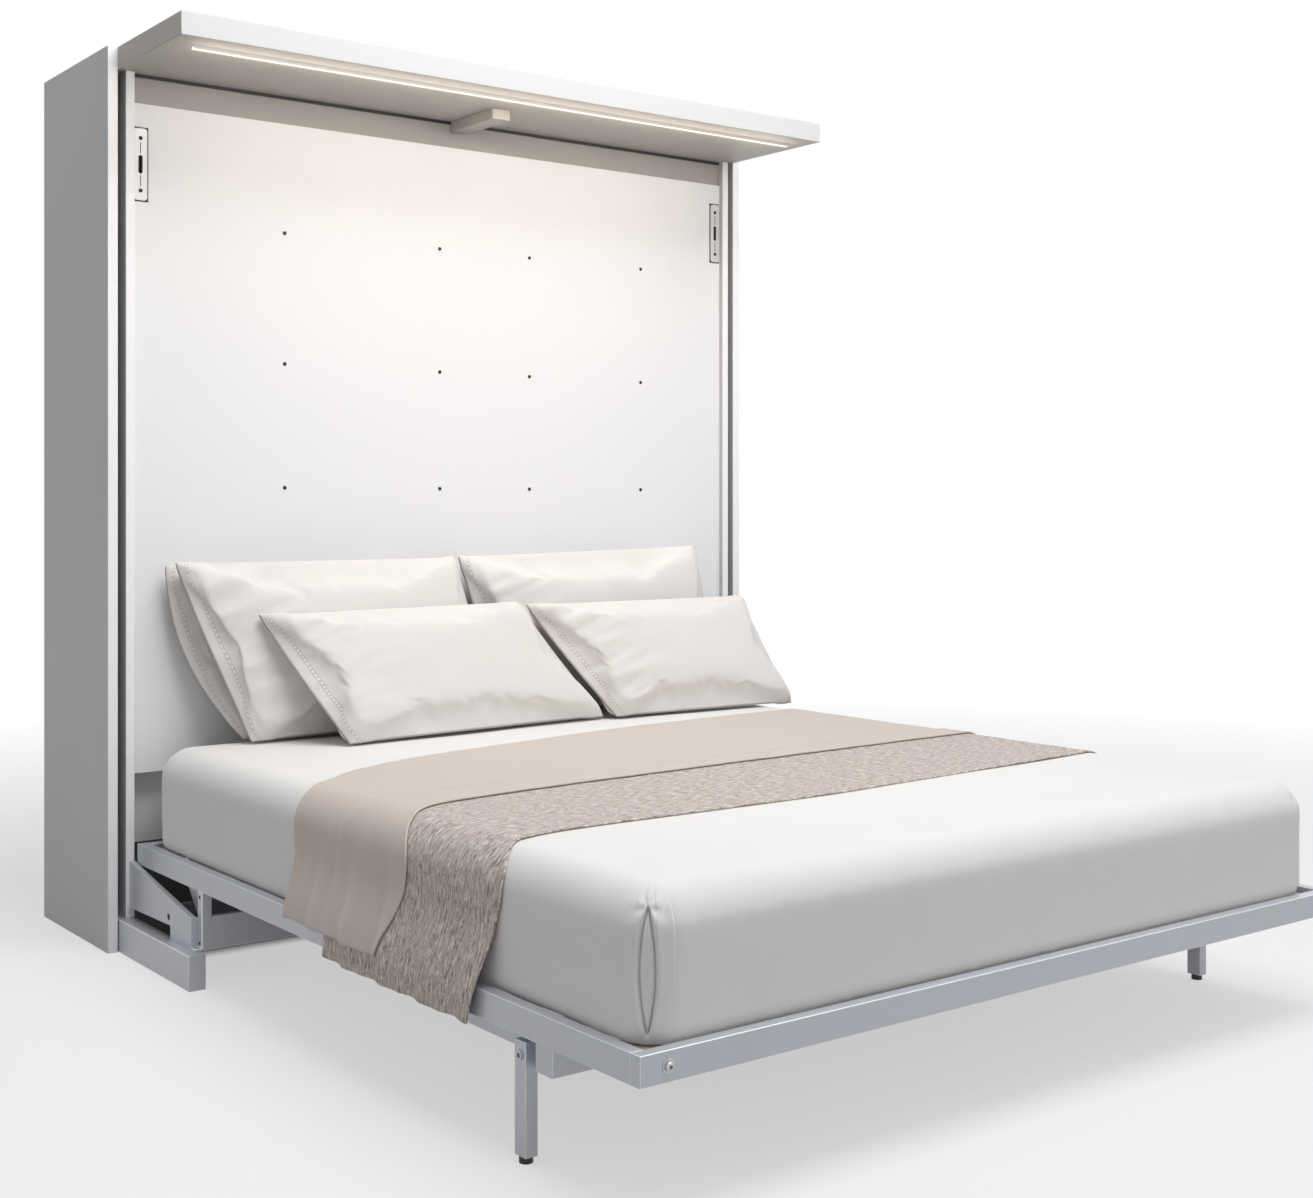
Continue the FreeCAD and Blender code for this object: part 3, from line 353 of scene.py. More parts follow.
# Shares of a head's height and radius, for its wall, the two steps of its crown and its recess
SCREW_WALL_SHARE = 0.55
SCREW_CROWN_SHARES = ((0.16, 0.3), (0.3, 0.15))
SCREW_RIM_SHARE = 0.08
CROSS_REACH_SHARES = (0.2, 0.16)
SOCKET_REACH_SHARE = 0.34
RECESS_DEPTH_SHARE = 0.6

dress(("back_board",), coated_material("back_board_lacquer", BACK_BOARD_COLOUR, *BACK_LACQUER))


def shaded_lower_board_material():
    """The same lacquer, turned black below the bed as painted shade, where the photograph shows only
    dark.
    """
    material = coated_material("lower_board_lacquer_painted_shade", BACK_BOARD_COLOUR, *BACK_LACQUER)
    tree = material.node_tree
    height = part_of(tree, coordinates(tree, "Object"), "Z")
    low = math_node(tree, "LESS_THAN", height, LOWER_BOARD_SHADE_HEIGHT)
    return paint_over(material, low, LOWER_BOARD_PAINTED_SHADE)


ease(("recess_shelf", "lower_back_board"), BOARD_EASE, shaded_lower_board_material())
DARK_SCREW = coated_material("black_oxide", SCREW_COLOUR, *SCREW_OXIDE)


def extruded(mesh, face, rise):
    """Pull a face along Z with new walls behind it."""
    grown = bmesh.ops.extrude_face_region(mesh, geom=[face])
    top = next(item for item in grown["geom"] if isinstance(item, bmesh.types.BMFace))
    bmesh.ops.translate(mesh, verts=top.verts, vec=(0, 0, rise))
    return top


def inset(mesh, face, width, rise=0.0):
    """Draw a face in from its rim, and lift it."""
    bmesh.ops.inset_region(mesh, faces=[face], thickness=width, depth=0)
    bmesh.ops.translate(mesh, verts=face.verts, vec=(0, 0, rise))


def turn_and_place(mesh, verts, outwards, centre):
    """Turn what was built along Z to face outwards, and put it in its place."""
    turn = Vector((0, 0, 1)).rotation_difference(Vector(outwards)).to_matrix()
    bmesh.ops.rotate(mesh, verts=verts, cent=(0, 0, 0), matrix=turn)
    bmesh.ops.translate(mesh, verts=verts, vec=centre)
    mesh.verts.index_update()


def screw_head(mesh, centre, outwards, radius, height, recess):
    """A crowned head with a sunk recess of four or six sides."""
    start = len(mesh.verts)
    made = bmesh.ops.create_circle(
        mesh, cap_ends=True, cap_tris=False, segments=SCREW_SIDES, radius=radius,
    )
    top = extruded(mesh, made["verts"][0].link_faces[0], height * SCREW_WALL_SHARE)
    for inwards, rise in SCREW_CROWN_SHARES:
        inset(mesh, top, radius * inwards, height * rise)
    inset(mesh, top, radius * SCREW_RIM_SHARE)
    for index, vert in enumerate(top.verts):
        angle = math.tau * index / SCREW_SIDES
        lobe = math.cos(recess * angle / 2) ** 2
        cross = CROSS_REACH_SHARES[0] + CROSS_REACH_SHARES[1] * lobe
        reach = radius * (cross if recess == 4 else SOCKET_REACH_SHARE)
        vert.co.x = math.cos(angle) * reach
        vert.co.y = math.sin(angle) * reach
    extruded(mesh, top, -height * RECESS_DEPTH_SHARE)
    bmesh.ops.delete(mesh, geom=[top], context="FACES_ONLY")
    fresh = [vert for vert in mesh.verts if vert.index >= start or vert.index < 0]
    turn_and_place(mesh, fresh, outwards, centre)


def islands(name):
    """The lowest and highest corners of each separate part of a CAD node."""
    mesh = welded_copy(name)
    left = set(mesh.verts)
    boxes = []
    while left:
        front = [left.pop()]
        found = list(front)
        while front:
            for edge in front.pop().link_edges:
                for vert in edge.verts:
                    if vert in left:
                        left.remove(vert)
                        front.append(vert)
                        found.append(vert)
        low = Vector(min(vert.co[axis] for vert in found) for axis in range(3))
        high = Vector(max(vert.co[axis] for vert in found) for axis in range(3))
        boxes.append((low, high))
    mesh.free()
    return sorted(boxes, key=lambda item: tuple(round(value, 4) for value in item[0]))


def black_screws(name, piece_name, recess, height, sideways=False):
    """Screw heads for the screws of a CAD node, facing the foot of the bed or outwards."""
    mesh = bmesh.new()
    for low, high in islands(name):
        seat = (low + high) / 2
        if sideways:
            side = 1 if low.x > 0 else -1
            seat.x = low.x if side > 0 else high.x
            screw_head(mesh, seat, (side, 0, 0), (high.z - low.z) / 2, height, recess)
        else:
            seat.y = low.y + height
            screw_head(mesh, seat, (0, -1, 0), (high.x - low.x) / 2, height, recess)
    add_piece(mesh, piece_name, "cabinet", DARK_SCREW, (name,))


black_screws("back_board_screws", "back_board_screw_heads", 4, BOARD_SCREW_HEIGHT)


# Canopy
# The top board runs out over the bed. An aluminium channel is let into its underside near the
# front edge, with a frosted strip that glows warm white, and a painted block braces it.
CANOPY_EASE = 0.0018
# Painted light: the canopy's warm grey is its board in shade and in the strip's warm spill, and its
# front face is painted lighter.
CANOPY_SHADED_COLOUR = (0.45, 0.425, 0.395)
CANOPY_LIT_EDGE = (0.60, 0.596, 0.59)
BRACKET_EASE = 0.0015
BRACKET_COLOUR = (0.43, 0.41, 0.385)
BRACKET_COAT = (0.4, 0.1, 0.05, 700.0, 0.0003)
ALUMINIUM_COLOUR = (0.72, 0.72, 0.73)
# Roughness, and scale of the brush lines
ALUMINIUM_BRUSH = (0.34, 900.0)
BRUSH_STRETCH = (0.04, 1.0, 1.0)
BRUSH_DARK_SHARE = 0.85
BRUSH_GLOSS_SPREAD = (-0.08, 0.12)
# Strength and depth
BRUSH_RELIEF = (0.2, 0.0002)
STRIP_COLOUR = (1.0, 0.92, 0.74)
STRIP_GLOW = 1.0
STRIP_LAMP_SPACING = 0.0167
STRIP_DIM_SHARE = 0.82
# Shares of the strip's colour, between two of its lamps and at a lamp
STRIP_GLOW_SHARES = (0.7, 1.0)
# The frosted strip's own colour also brightens at each lamp: painted light.
STRIP_FROST_GLOW_SHARES = (0.10, 0.15)
LIGHT_COLOUR = (1.0, 0.86, 0.72)

ease(
    ("canopy",), CANOPY_EASE, banded_and_lit_front_material("canopy_lacquer_with_painted_light", CANOPY_SHADED_COLOUR, CANOPY_LIT_EDGE),
)
ease(
    ("canopy_bracket",), BRACKET_EASE,
    coated_material("bracket_powder_coat", BRACKET_COLOUR, *BRACKET_COAT),
)


def stretched(tree, place, scale):
    return add_node(tree, "ShaderNodeMapping", {"Vector": place, "Scale": scale}).outputs[0]


def tinted(colour, share):
    return tuple(share * channel for channel in colour)


def brushed_material(name, colour, roughness, scale):
    """Bare metal with fine brush lines along X and small changes in its gloss."""
    material, tree = new_material(name, roughness, 1.0)
    lines = noise_over(tree, stretched(tree, coordinates(tree, "Object"), BRUSH_STRETCH), scale)
    feed(tree, "Base Color", mix_colour(tree, lines, tinted(colour, BRUSH_DARK_SHARE), colour))
    shiny, dull = (roughness + change for change in BRUSH_GLOSS_SPREAD)
    feed(tree, "Roughness", map_range(tree, lines, to_min=shiny, to_max=dull))
    bump(tree, lines, *BRUSH_RELIEF)
    return material


dress(("led_channel",), brushed_material("brushed_aluminium", ALUMINIUM_COLOUR, *ALUMINIUM_BRUSH))


def strip_material():
    """Frosted strip: glows bright at each lamp behind it and slightly dimmer between them; its base
    colour follows the lamps too, as painted light.
    """
    material, tree = new_material("frosted_strip", 0.5, Emission_Strength=STRIP_GLOW)
    along = part_of(tree, coordinates(tree, "Object"), "X")
    turns = math_node(tree, "MULTIPLY", along, math.tau / STRIP_LAMP_SPACING)
    share = map_range(tree, math_node(tree, "SINE", turns), -1.0, 1.0, STRIP_DIM_SHARE, 1.0)
    for socket, shares in (
        ("Base Color", STRIP_FROST_GLOW_SHARES),
        ("Emission Color", STRIP_GLOW_SHARES),
    ):
        dim, bright = (tinted(STRIP_COLOUR, part) for part in shares)
        feed(tree, socket, mix_colour(tree, share, dim, bright))
    return material


dress(("led_diffuser",), strip_material())

# A black strip in the joint between the canopy and the board below it: painted shade, standing for the
# shadow in that joint
SHADOW_STRIP_HEIGHT = 0.008
SHADOW_STRIP_REACH = 0.004
SHADOW_STRIP_EASE = 0.0008
# Black nylon for the glides, used as well for black pieces that are painted shade.
BLACK_NYLON_AND_SHADE_COLOUR = (0.03, 0.03, 0.032)
BLACK_SKIN = (0.5, 0.0, 0.3, 500.0, 0.0003)
BLACK_NYLON_AND_SHADE = coated_material("black_nylon_and_painted_shade", BLACK_NYLON_AND_SHADE_COLOUR, *BLACK_SKIN)


def block(mesh, middle, size):
    """A block with its middle and size; gives its edges."""
    made = bmesh.ops.create_cube(mesh, size=1.0)
    bmesh.ops.scale(mesh, vec=size, verts=made["verts"])
    bmesh.ops.translate(mesh, vec=middle, verts=made["verts"])
    return list({edge for vert in made["verts"] for edge in vert.link_edges})


header_low, header_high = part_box("header_board")
shadow_strip_middle = (
    (header_low.x + header_high.x) / 2,
    header_low.y - SHADOW_STRIP_REACH / 2,
    header_high.z - SHADOW_STRIP_HEIGHT / 2,
)
shadow_strip_mesh = bmesh.new()
shadow_strip_edges = block(shadow_strip_mesh, shadow_strip_middle, (header_high.x - header_low.x, SHADOW_STRIP_REACH, SHADOW_STRIP_HEIGHT))
bevel(shadow_strip_mesh, shadow_strip_edges, SHADOW_STRIP_EASE)
add_piece(shadow_strip_mesh, "canopy_shadow_strip", "cabinet", BLACK_NYLON_AND_SHADE)

# The strip's own light: most of it falls on the board, and a little spreads over the underside.
# Each: name, width, watts, drop below the strip, and tilt in degrees
STRIP_LAMPS = (
    ("strip_light", 0.03, 2.9, 0.006, 28),
    ("strip_halo", 0.04, 0.7, 0.03, 180),
)


def area_lamp(name, place, turn, width, height, watts):
    data = bpy.data.lights.new(name, "AREA")
    data.shape = "RECTANGLE"
    data.size = width
    data.size_y = height
    data.energy = watts
    lamp = scene_object(name, data)
    lamp.location = place
    lamp.rotation_euler = turn
    return data


strip_low, strip_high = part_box("led_diffuser")
for lamp_name, lamp_width, watts, drop, tilt in STRIP_LAMPS:
    place = ((strip_low.x + strip_high.x) / 2, strip_low.y, strip_low.z - drop)
    turn = (math.radians(tilt), 0, 0)
    strip_lamp = area_lamp(lamp_name, place, turn, strip_high.x - strip_low.x, lamp_width, watts)
    strip_lamp.color = LIGHT_COLOUR


# Slotted plates
# Two zinc plated steel plates are screwed near the top corners of the back board. Black pieces on them
# are painted shade: a thin rim behind three of their edges, blocks in their slots, and narrow guide
# slots above and below, for the shade along the edges and in the slots.
PLATE_EASE = 0.0006
ZINC_COLOUR = (0.66, 0.66, 0.67)
ZINC_COAT = (0.36, 0.25, 0.06, 650.0, 0.0002)
SLOT_SHADE_SETBACK = 0.0012
SLOT_SHADE_SIZES = ((0.014, 0.052), (0.006, 0.056))
GUIDE_PLACE_SHARE = 0.23
GUIDE_LENGTH_SHARE = 0.16
GUIDE_WIDTH = 0.0022
EDGE_SHADE_RIM = 0.0035
EDGE_SHADE_DEPTH = 0.0008

ease(
    ("left_anchor_plate", "right_anchor_plate"), PLATE_EASE,
    coated_material("zinc_plate", ZINC_COLOUR, *ZINC_COAT),
)
black_screws("anchor_plate_screws", "anchor_plate_screw_heads", 6, BOARD_SCREW_HEIGHT)


def plate_shade_marks(name):
    """Painted shade for a plate: black blocks in its slot and guide slots, and a black rim behind its
    edges.
    """
    low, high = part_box(name)
    middle = (low + high) / 2
    size = high - low
    inwards = 1 if middle.x < 0 else -1
    mesh = bmesh.new()
    slot_shade_depth = size.y - SLOT_SHADE_SETBACK
    blocks = [
        ((middle.x, high.y - slot_shade_depth / 2, middle.z), (width, slot_shade_depth, height))
        for width, height in SLOT_SHADE_SIZES
    ]
    guide = (GUIDE_WIDTH, GUIDE_WIDTH / 4, GUIDE_LENGTH_SHARE * size.z)
    for share in (-GUIDE_PLACE_SHARE, GUIDE_PLACE_SHARE):
        blocks.append(((middle.x, low.y, middle.z + share * size.z), guide))
    blocks.append((
        (middle.x + inwards * EDGE_SHADE_RIM / 2, high.y - EDGE_SHADE_DEPTH / 2, middle.z),
        (size.x + EDGE_SHADE_RIM, EDGE_SHADE_DEPTH, size.z + 2 * EDGE_SHADE_RIM),
    ))
    for place, extent in blocks:
        bevel(mesh, block(mesh, place, extent), PLATE_EASE / 2, 1)
    add_piece(mesh, f"{name}_shade_marks", "cabinet", BLACK_NYLON_AND_SHADE)


plate_shade_marks("left_anchor_plate")
plate_shade_marks("right_anchor_plate")


# Base
# Two steel tubes lie on the floor under the cabinet, with caps on their ends. Posts stand on them
# with a beam between, and bent gussets brace the posts to the uprights. All are powder coated.
METAL_COLOUR = (0.585, 0.605, 0.66)
POWDER_COAT = (0.34, 0.25, 0.05, 700.0, 0.0003)
# Painted highlight: the bevels along the rounded edges get a near white colour.
EDGE_HIGHLIGHT_COLOUR = (0.97, 0.975, 0.99)
EDGE_HIGHLIGHT_SHARE = 0.95
RUNNER_EASE = 0.0024
POST_EASE = 0.0018
SHEET_EASE = 0.0008
CAP_THICKNESS = 0.002
CAP_INSET = 0.0004
CAP_PROUD_SHARE = 0.1
POST_SCREW_HEIGHT = 0.0012


def highlighted_steel_paint():
    """Silver grey powder coat, with a painted highlight along the rounded edges of the tubes."""
    material = coated_material("silver_grey_powder_coat_with_painted_highlight", METAL_COLOUR, *POWDER_COAT)
    tree = material.node_tree
    edge = part_of(tree, add_node(tree, "ShaderNodeUVMap", uv_map="edge").outputs[0], "X")
    return paint_over(material, math_node(tree, "MULTIPLY", edge, EDGE_HIGHLIGHT_SHARE), EDGE_HIGHLIGHT_COLOUR)


HIGHLIGHTED_STEEL_PAINT = highlighted_steel_paint()


def ease_steel(names, radius, segments=2):
    ease(names, radius, HIGHLIGHTED_STEEL_PAINT, segments)


ease_steel(("left_runner", "right_runner"), RUNNER_EASE, 3)
ease_steel(("left_post", "right_post", "base_beam"), POST_EASE)
ease_steel(("left_gusset", "right_gusset"), SHEET_EASE)


def cap_tube_ends(names, axis, piece_name, body, stands_for=(), ends=(0, 1)):
    """Thin plates that close the open ends of tubes which run along an axis."""
    mesh = bmesh.new()
    for name in names:
        low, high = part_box(name)
        size = high - low - Vector((2 * CAP_INSET,) * 3)
        size[axis] = CAP_THICKNESS
        for end in ends:
            outwards = 1 if end else -1
            place = (low + high) / 2
            place[axis] = (low, high)[end][axis]
            place[axis] += outwards * (CAP_PROUD_SHARE - 0.5) * CAP_THICKNESS
            block(mesh, place, size)
    bevel(mesh, mesh.edges[:], CAP_INSET)
    add_piece(mesh, piece_name, body, HIGHLIGHTED_STEEL_PAINT, stands_for)


cap_tube_ends(("left_runner", "right_runner"), 1, "runner_end_caps", "cabinet", ("runner_plugs",))
black_screws("post_screws", "post_screw_heads", 4, POST_SCREW_HEIGHT, sideways=True)


# Pivots
# Bent plates behind the beam carry the pins that the bed turns on. Each plate is held by four
# bolts, and pins and bolts are bare satin steel.
SATIN_COLOUR = (0.52, 0.52, 0.54)
SATIN_BRUSH = (0.3, 1200.0)
BRIGHT_STEEL = brushed_material("satin_steel", SATIN_COLOUR, *SATIN_BRUSH)

ease_steel(("left_pivot_plate", "right_pivot_plate"), SHEET_EASE)
dress(("left_pivot_pin", "right_pivot_pin", "pivot_plate_bolts"), BRIGHT_STEEL)


# Bed frame
# Rectangular steel tubes, butted at the corners and powder coated. Inside, angle brackets hold
# the corners, and one button head bolt on a washer shows at each end of the foot rail.
RAIL_EASE = 0.0021
DECK_RAIL_EASE = 0.0018
WASHER_SHARE = 1.5
WASHER_SIDES = 40
WASHER_THICKNESS = 0.0011
WASHER_STEP = 0.0008
WASHER_CROWN = 0.0004
BOLT_SEAT = 0.0015

ease_steel(("left_side_rail", "right_side_rail", "head_rail", "foot_rail"), RAIL_EASE)
ease_steel(
    ("left_deck_rail", "centre_deck_rail", "right_deck_rail", "leg_cross_member"), DECK_RAIL_EASE,
)
dress(("corner_brackets",), HIGHLIGHTED_STEEL_PAINT)
cap_tube_ends(("foot_rail", "head_rail", "leg_cross_member"), 0, "tube_end_caps", "bed")


def corner_bolts():
    """A turned washer with a button head bolt and a six sided socket at each foot corner."""
    mesh = bmesh.new()
    for low, high in islands("corner_bolts"):
        centre = (low + high) / 2
        washer = (high.x - low.x) / 2
        ring = bmesh.ops.create_circle(mesh, cap_ends=True, segments=WASHER_SIDES, radius=washer)
        top = extruded(mesh, ring["verts"][0].link_faces[0], WASHER_THICKNESS)
        inset(mesh, top, WASHER_STEP, WASHER_CROWN)
        whole = set(ring["verts"]) | set(top.verts)
        for vert in list(whole):
            for edge in vert.link_edges:
                whole.update(edge.verts)
        turn_and_place(mesh, list(whole), (0, -1, 0), (centre.x, high.y, centre.z))
        screw_head(
            mesh, (centre.x, high.y - BOLT_SEAT, centre.z), (0, -1, 0), washer / WASHER_SHARE,
            high.y - low.y - BOLT_SEAT, 6,
        )
    add_piece(mesh, "corner_bolt_heads", "bed", BRIGHT_STEEL, ("corner_bolts",))


corner_bolts()


# Slats
# Thirteen sprung slats of clear lacquered birch lie across the deck rails under the mattress,
# and only their ends can be seen in the gap beside it.
# The tones are darker and less saturated than clear birch, partly as painted shade, so the slat ends in
# the gap beside the mattress read dark.
SLAT_PALE = (0.68, 0.60, 0.48)
SLAT_DARK = (0.52, 0.44, 0.34)
SLAT_EASE = 0.003
GRAIN_STRETCH = (0.6, 14.0, 14.0)
GRAIN_SCALE = 4.0
GRAIN_TWIST = 0.6
PORE_SCALE = 60.0
PORE_RELIEF = (0.3, 0.0003)


def birch_material():
    """Birch with long grain along X, fine pores and a slight tone change from slat to slat."""
    material, tree = new_material("lacquered_birch", 0.45)
    place = stretched(tree, coordinates(tree, "Object"), GRAIN_STRETCH)
    grain = noise_over(tree, place, GRAIN_SCALE, 6.0, distortion=GRAIN_TWIST)
    feed(tree, "Base Color", mix_colour(tree, grain, SLAT_DARK, SLAT_PALE))
    bump(tree, noise_over(tree, place, PORE_SCALE), *PORE_RELIEF)
    return material


ease(("slats",), SLAT_EASE, birch_material())


# Legs
# Two folding legs of rectangular tube hang between brackets near the foot, on pins, and stand on
# black nylon glides with a turned rim.
LEG_EASE = 0.0015
GLIDE_EASE = 0.002
PIN_DARK_DISC_RADIUS = 0.0042

ease_steel(("left_leg", "right_leg"), LEG_EASE)
ease_steel(("left_leg_bracket", "right_leg_bracket"), SHEET_EASE)


def vector_node(tree, operation, first, second=(0.0, 0.0, 0.0)):
    made = add_node(tree, "ShaderNodeVectorMath", {0: first, 1: second}, operation=operation)
    return made.outputs["Value" if operation == "LENGTH" else "Vector"]


def pin_material():
    """Painted pin ends with a small black disc in the middle."""
    material = coated_material("painted_pin", METAL_COLOUR, *POWDER_COAT)
    tree = material.node_tree
    low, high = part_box("left_leg_pin")
    axis = (0.0, (low.y + high.y) / 2, (low.z + high.z) / 2)
    aside = vector_node(tree, "SUBTRACT", coordinates(tree, "Object"), axis)
    away = vector_node(tree, "LENGTH", vector_node(tree, "MULTIPLY", aside, (0.0, 1.0, 1.0)))
    return paint_over(material, math_node(tree, "LESS_THAN", away, PIN_DARK_DISC_RADIUS), SCREW_COLOUR)


dress(("left_leg_pin", "right_leg_pin"), pin_material())
for leg in ("left_leg", "right_leg"):
    cap_tube_ends((leg,), 2, f"{leg}_top_cap", f"{leg}_body", (), (1,))
ease(("left_leg_glide", "right_leg_glide"), GLIDE_EASE, BLACK_NYLON_AND_SHADE, 3)


# Mattress
# A deep pocket sprung mattress under a smooth ivory fitted sheet. The sheet is pulled tight, so
# it only shows faint creases below its top edges, and it gapes at a fold on each corner.
MATTRESS_LOW, MATTRESS_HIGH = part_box("mattress")
SHEET_COLOUR = (0.88, 0.87, 0.86)
SHEET_SHADE = (0.83, 0.82, 0.81)
# Sheen, threads in a metre, and the depth and scale of the creases
SHEET_CLOTH = (0.25, 900.0, 0.0012, 7.0)
SLUB_STRETCH = (1.0, 12.0, 1.0)
SLUB_SCALE = 40.0
SLUB_SHARE = 0.5
CREASE_STRENGTH = 0.5
WEAVE_RELIEF = (0.25, 0.0003)
EDGE_ROUNDING = 0.068
FOOT_ROUNDING = 0.014
TOP_ARC = math.pi / 2 * EDGE_ROUNDING
TOP_FLAT = MATTRESS_HIGH.x - EDGE_ROUNDING
TOP_CORE = MATTRESS_HIGH.z - EDGE_ROUNDING
SIDE_BULGE = 0.006
BULGE_LOW_SHARE = 0.12
BULGE_HIGH_SHARE = 0.35
# Layers of unevenness, each with its strength, its scale in two directions and a number of its own
WALL_RIPPLES = ((1.0, 26.0, 3.0, 1.0), (0.6, 60.0, 5.0, 7.0))
TOP_WAVES = ((0.0018, 3.0, 2.2, 3.0),)
TOP_CALM_REACH = 6
CREASE_DEPTH = 0.0019
# Where up the wall the creases start, how fast they grow, where they end and how fast they die
CREASE_SHARES = (0.25, 0.5, 1.02, 0.12)
FOLD_HALF_WIDTH = 0.0135
FOLD_PANEL_DEPTH = 0.004
FOLD_PANEL_RIM = 0.004
FOLD_GROOVE_DEPTH = 0.012
FOLD_GROOVE_WIDTH = 0.0019
FOLD_ROLL_HEIGHT = 0.0016
FOLD_ROLL_PLACE = 0.007
FOLD_ROLL_WIDTH = 0.004
FOLD_TIP_SHARE = 0.03
FOLD_LOW_SHARE = 0.07
FOLD_HIGH_SHARE = 0.87
PINCH_DEPTH = 0.0035
PINCH_REACH = 0.028
PINCH_HOLLOW = 0.008
PINCH_RAYS = 5
GAPE_POWER = 0.8
LEVEL_FACING = 0.7
CORNER_STEPS = 84
LENGTH_STEPS = 96
WIDTH_STEPS = 88
SIDE_ROWS = 76


def weave_group():
    """Plain weave: warp and weft threads that pass over each other, on the cloth's own map."""
    group, given, result = new_group(
        "plain_weave", (("Vector", "Vector"), ("Threads", "Float")), (("Height", "Float"),),
    )
    waves = []
    for axis in ("X", "Y"):
        place = part_of(group, given.outputs["Vector"], axis)
        turns = math_node(group, "MULTIPLY", place, given.outputs["Threads"])
        waves.append(math_node(group, "SINE", math_node(group, "MULTIPLY", turns, math.pi)))
    over = math_node(group, "GREATER_THAN", math_node(group, "MULTIPLY", *waves), 0.0)
    warp, weft = (math_node(group, "ABSOLUTE", wave) for wave in waves)
    height = add_node(group, "ShaderNodeMix", {0: over, 2: warp, 3: weft}, data_type="FLOAT")
    group.links.new(height.outputs[0], result.inputs["Height"])
    return group


WEAVE = weave_group()


def weighed(tree, share, first, second):
    """A first value by its share, and a second one by the rest."""
    return math_node(
        tree, "ADD", math_node(tree, "MULTIPLY", first, share),
        math_node(tree, "MULTIPLY", second, 1 - share),
    )


def cotton_material(name, pale, shade, sheen, threads, crease_depth, crease_scale):
    """Woven cotton: soft sheen, faint slubs, weave, and small creases pressed into it."""
    material, tree = new_material(
        name, 0.82, Sheen_Weight=sheen, Sheen_Roughness=0.45, Specular_IOR_Level=0.25,
    )
    on_cloth = coordinates(tree, "UV")
    weave = add_node(
        tree, "ShaderNodeGroup", {"Vector": on_cloth, "Threads": threads}, node_tree=WEAVE,
    ).outputs["Height"]
    slubs = noise_over(tree, stretched(tree, on_cloth, SLUB_STRETCH), SLUB_SCALE, 3.0)
    clouds = noise_over(tree, coordinates(tree, "Object"), crease_scale, 5.0, 0.6, 0.5)
    tone = weighed(tree, SLUB_SHARE, slubs, clouds)
    feed(tree, "Base Color", mix_colour(tree, tone, shade, pale))
    bump(tree, clouds, CREASE_STRENGTH, crease_depth)
    bump(tree, weave, *WEAVE_RELIEF)
    return material


def smooth_step(value):
    value = min(1.0, max(0.0, value))
    return value * value * (3 - 2 * value)


def unevenness(across, along, layers, number=0.0):
    """Smooth unevenness at a place on a cloth, in metres or as a share."""
    return sum(
        strength * noise.noise(Vector((across * scale_across, along * scale_along, own + number)))
        for strength, scale_across, scale_along, own in layers
    )


def smooth_faces(mesh):
    for face in mesh.faces:
        face.smooth = True


def wall_profile(share, low, high):
    """How far out of the core a row of the mattress wall stands, and its height."""
    flat = EDGE_ROUNDING - FOOT_ROUNDING
    lower_arc = math.pi / 2 * FOOT_ROUNDING
    wall = high - low - FOOT_ROUNDING - EDGE_ROUNDING
    run = share * (flat + lower_arc + wall + TOP_ARC)
    if run < flat:
        return run, low
    run -= flat
    if run < lower_arc:
        angle = run / FOOT_ROUNDING
        return flat + FOOT_ROUNDING * math.sin(angle), low + FOOT_ROUNDING * (1 - math.cos(angle))
    run -= lower_arc
    if run < wall:
        return EDGE_ROUNDING, low + FOOT_ROUNDING + run
    angle = (run - wall) / EDGE_ROUNDING
    return EDGE_ROUNDING * math.cos(angle), high - EDGE_ROUNDING * (1 - math.sin(angle))


def wall_stations(half_width, half_length):
    """Core point, outward direction and turn from a corner's middle for each column of the wall,
    from the foot left corner on."""
    stations = []
    corners = ((-1, -1, math.pi), (1, -1, -math.pi / 2), (1, 1, 0.0), (-1, 1, math.pi / 2))
    for index, (side_x, side_y, turned) in enumerate(corners):
        core = Vector((side_x * half_width, side_y * half_length))
        for step in range(CORNER_STEPS + 1):
            angle = turned + math.pi / 2 * step / CORNER_STEPS
            outward = Vector((math.cos(angle), math.sin(angle)))
            stations.append((core, outward, (step / CORNER_STEPS - 0.5) * math.pi / 2))
        following = corners[(index + 1) % 4]
        target = Vector((following[0] * half_width, following[1] * half_length))
        count = WIDTH_STEPS if side_y == following[1] else LENGTH_STEPS
        for step in range(1, count):
            stations.append((core.lerp(target, step / count), outward, math.pi))
    return stations


def side_swell(height):
    """How far the tight sheet bellies out of the mattress wall at a height."""
    level = (height - MATTRESS_LOW.z) / (MATTRESS_HIGH.z - MATTRESS_LOW.z)
    rising = smooth_step(level / BULGE_LOW_SHARE)
    return SIDE_BULGE * rising * smooth_step((1 - level) / BULGE_HIGH_SHARE)


def corner_fold(aside, level, height):
    """How deep the sheet lies at a place beside a mattress corner: a lens shaped gape between
    two tight creases, and a small pinch at its upper tip."""
    sunk = 0.0
    fold_run = (level - FOLD_LOW_SHARE) / (FOLD_HIGH_SHARE - FOLD_LOW_SHARE)
    if 0 < fold_run < 1:
        rim = abs(aside) - FOLD_HALF_WIDTH * math.sin(math.pi * fold_run) ** GAPE_POWER
        panel = FOLD_PANEL_DEPTH * smooth_step(0.5 - rim / FOLD_PANEL_RIM)
        groove = FOLD_GROOVE_DEPTH * math.exp(-(rim / FOLD_GROOVE_WIDTH) ** 2)
        roll = FOLD_ROLL_HEIGHT * math.exp(-((rim - FOLD_ROLL_PLACE) / FOLD_ROLL_WIDTH) ** 2)
        ends = smooth_step(min(fold_run, 1 - fold_run) / FOLD_TIP_SHARE)
        sunk = (panel + groove - roll) * ends
    rise = (level - FOLD_HIGH_SHARE) * height
    away = math.hypot(aside, rise)
    rays = math.cos(PINCH_RAYS * math.atan2(aside, rise) + math.pi)
    pinch = PINCH_DEPTH * rays * math.exp(-(away / PINCH_REACH) ** 2)
    return sunk + pinch * smooth_step(away / PINCH_HOLLOW)


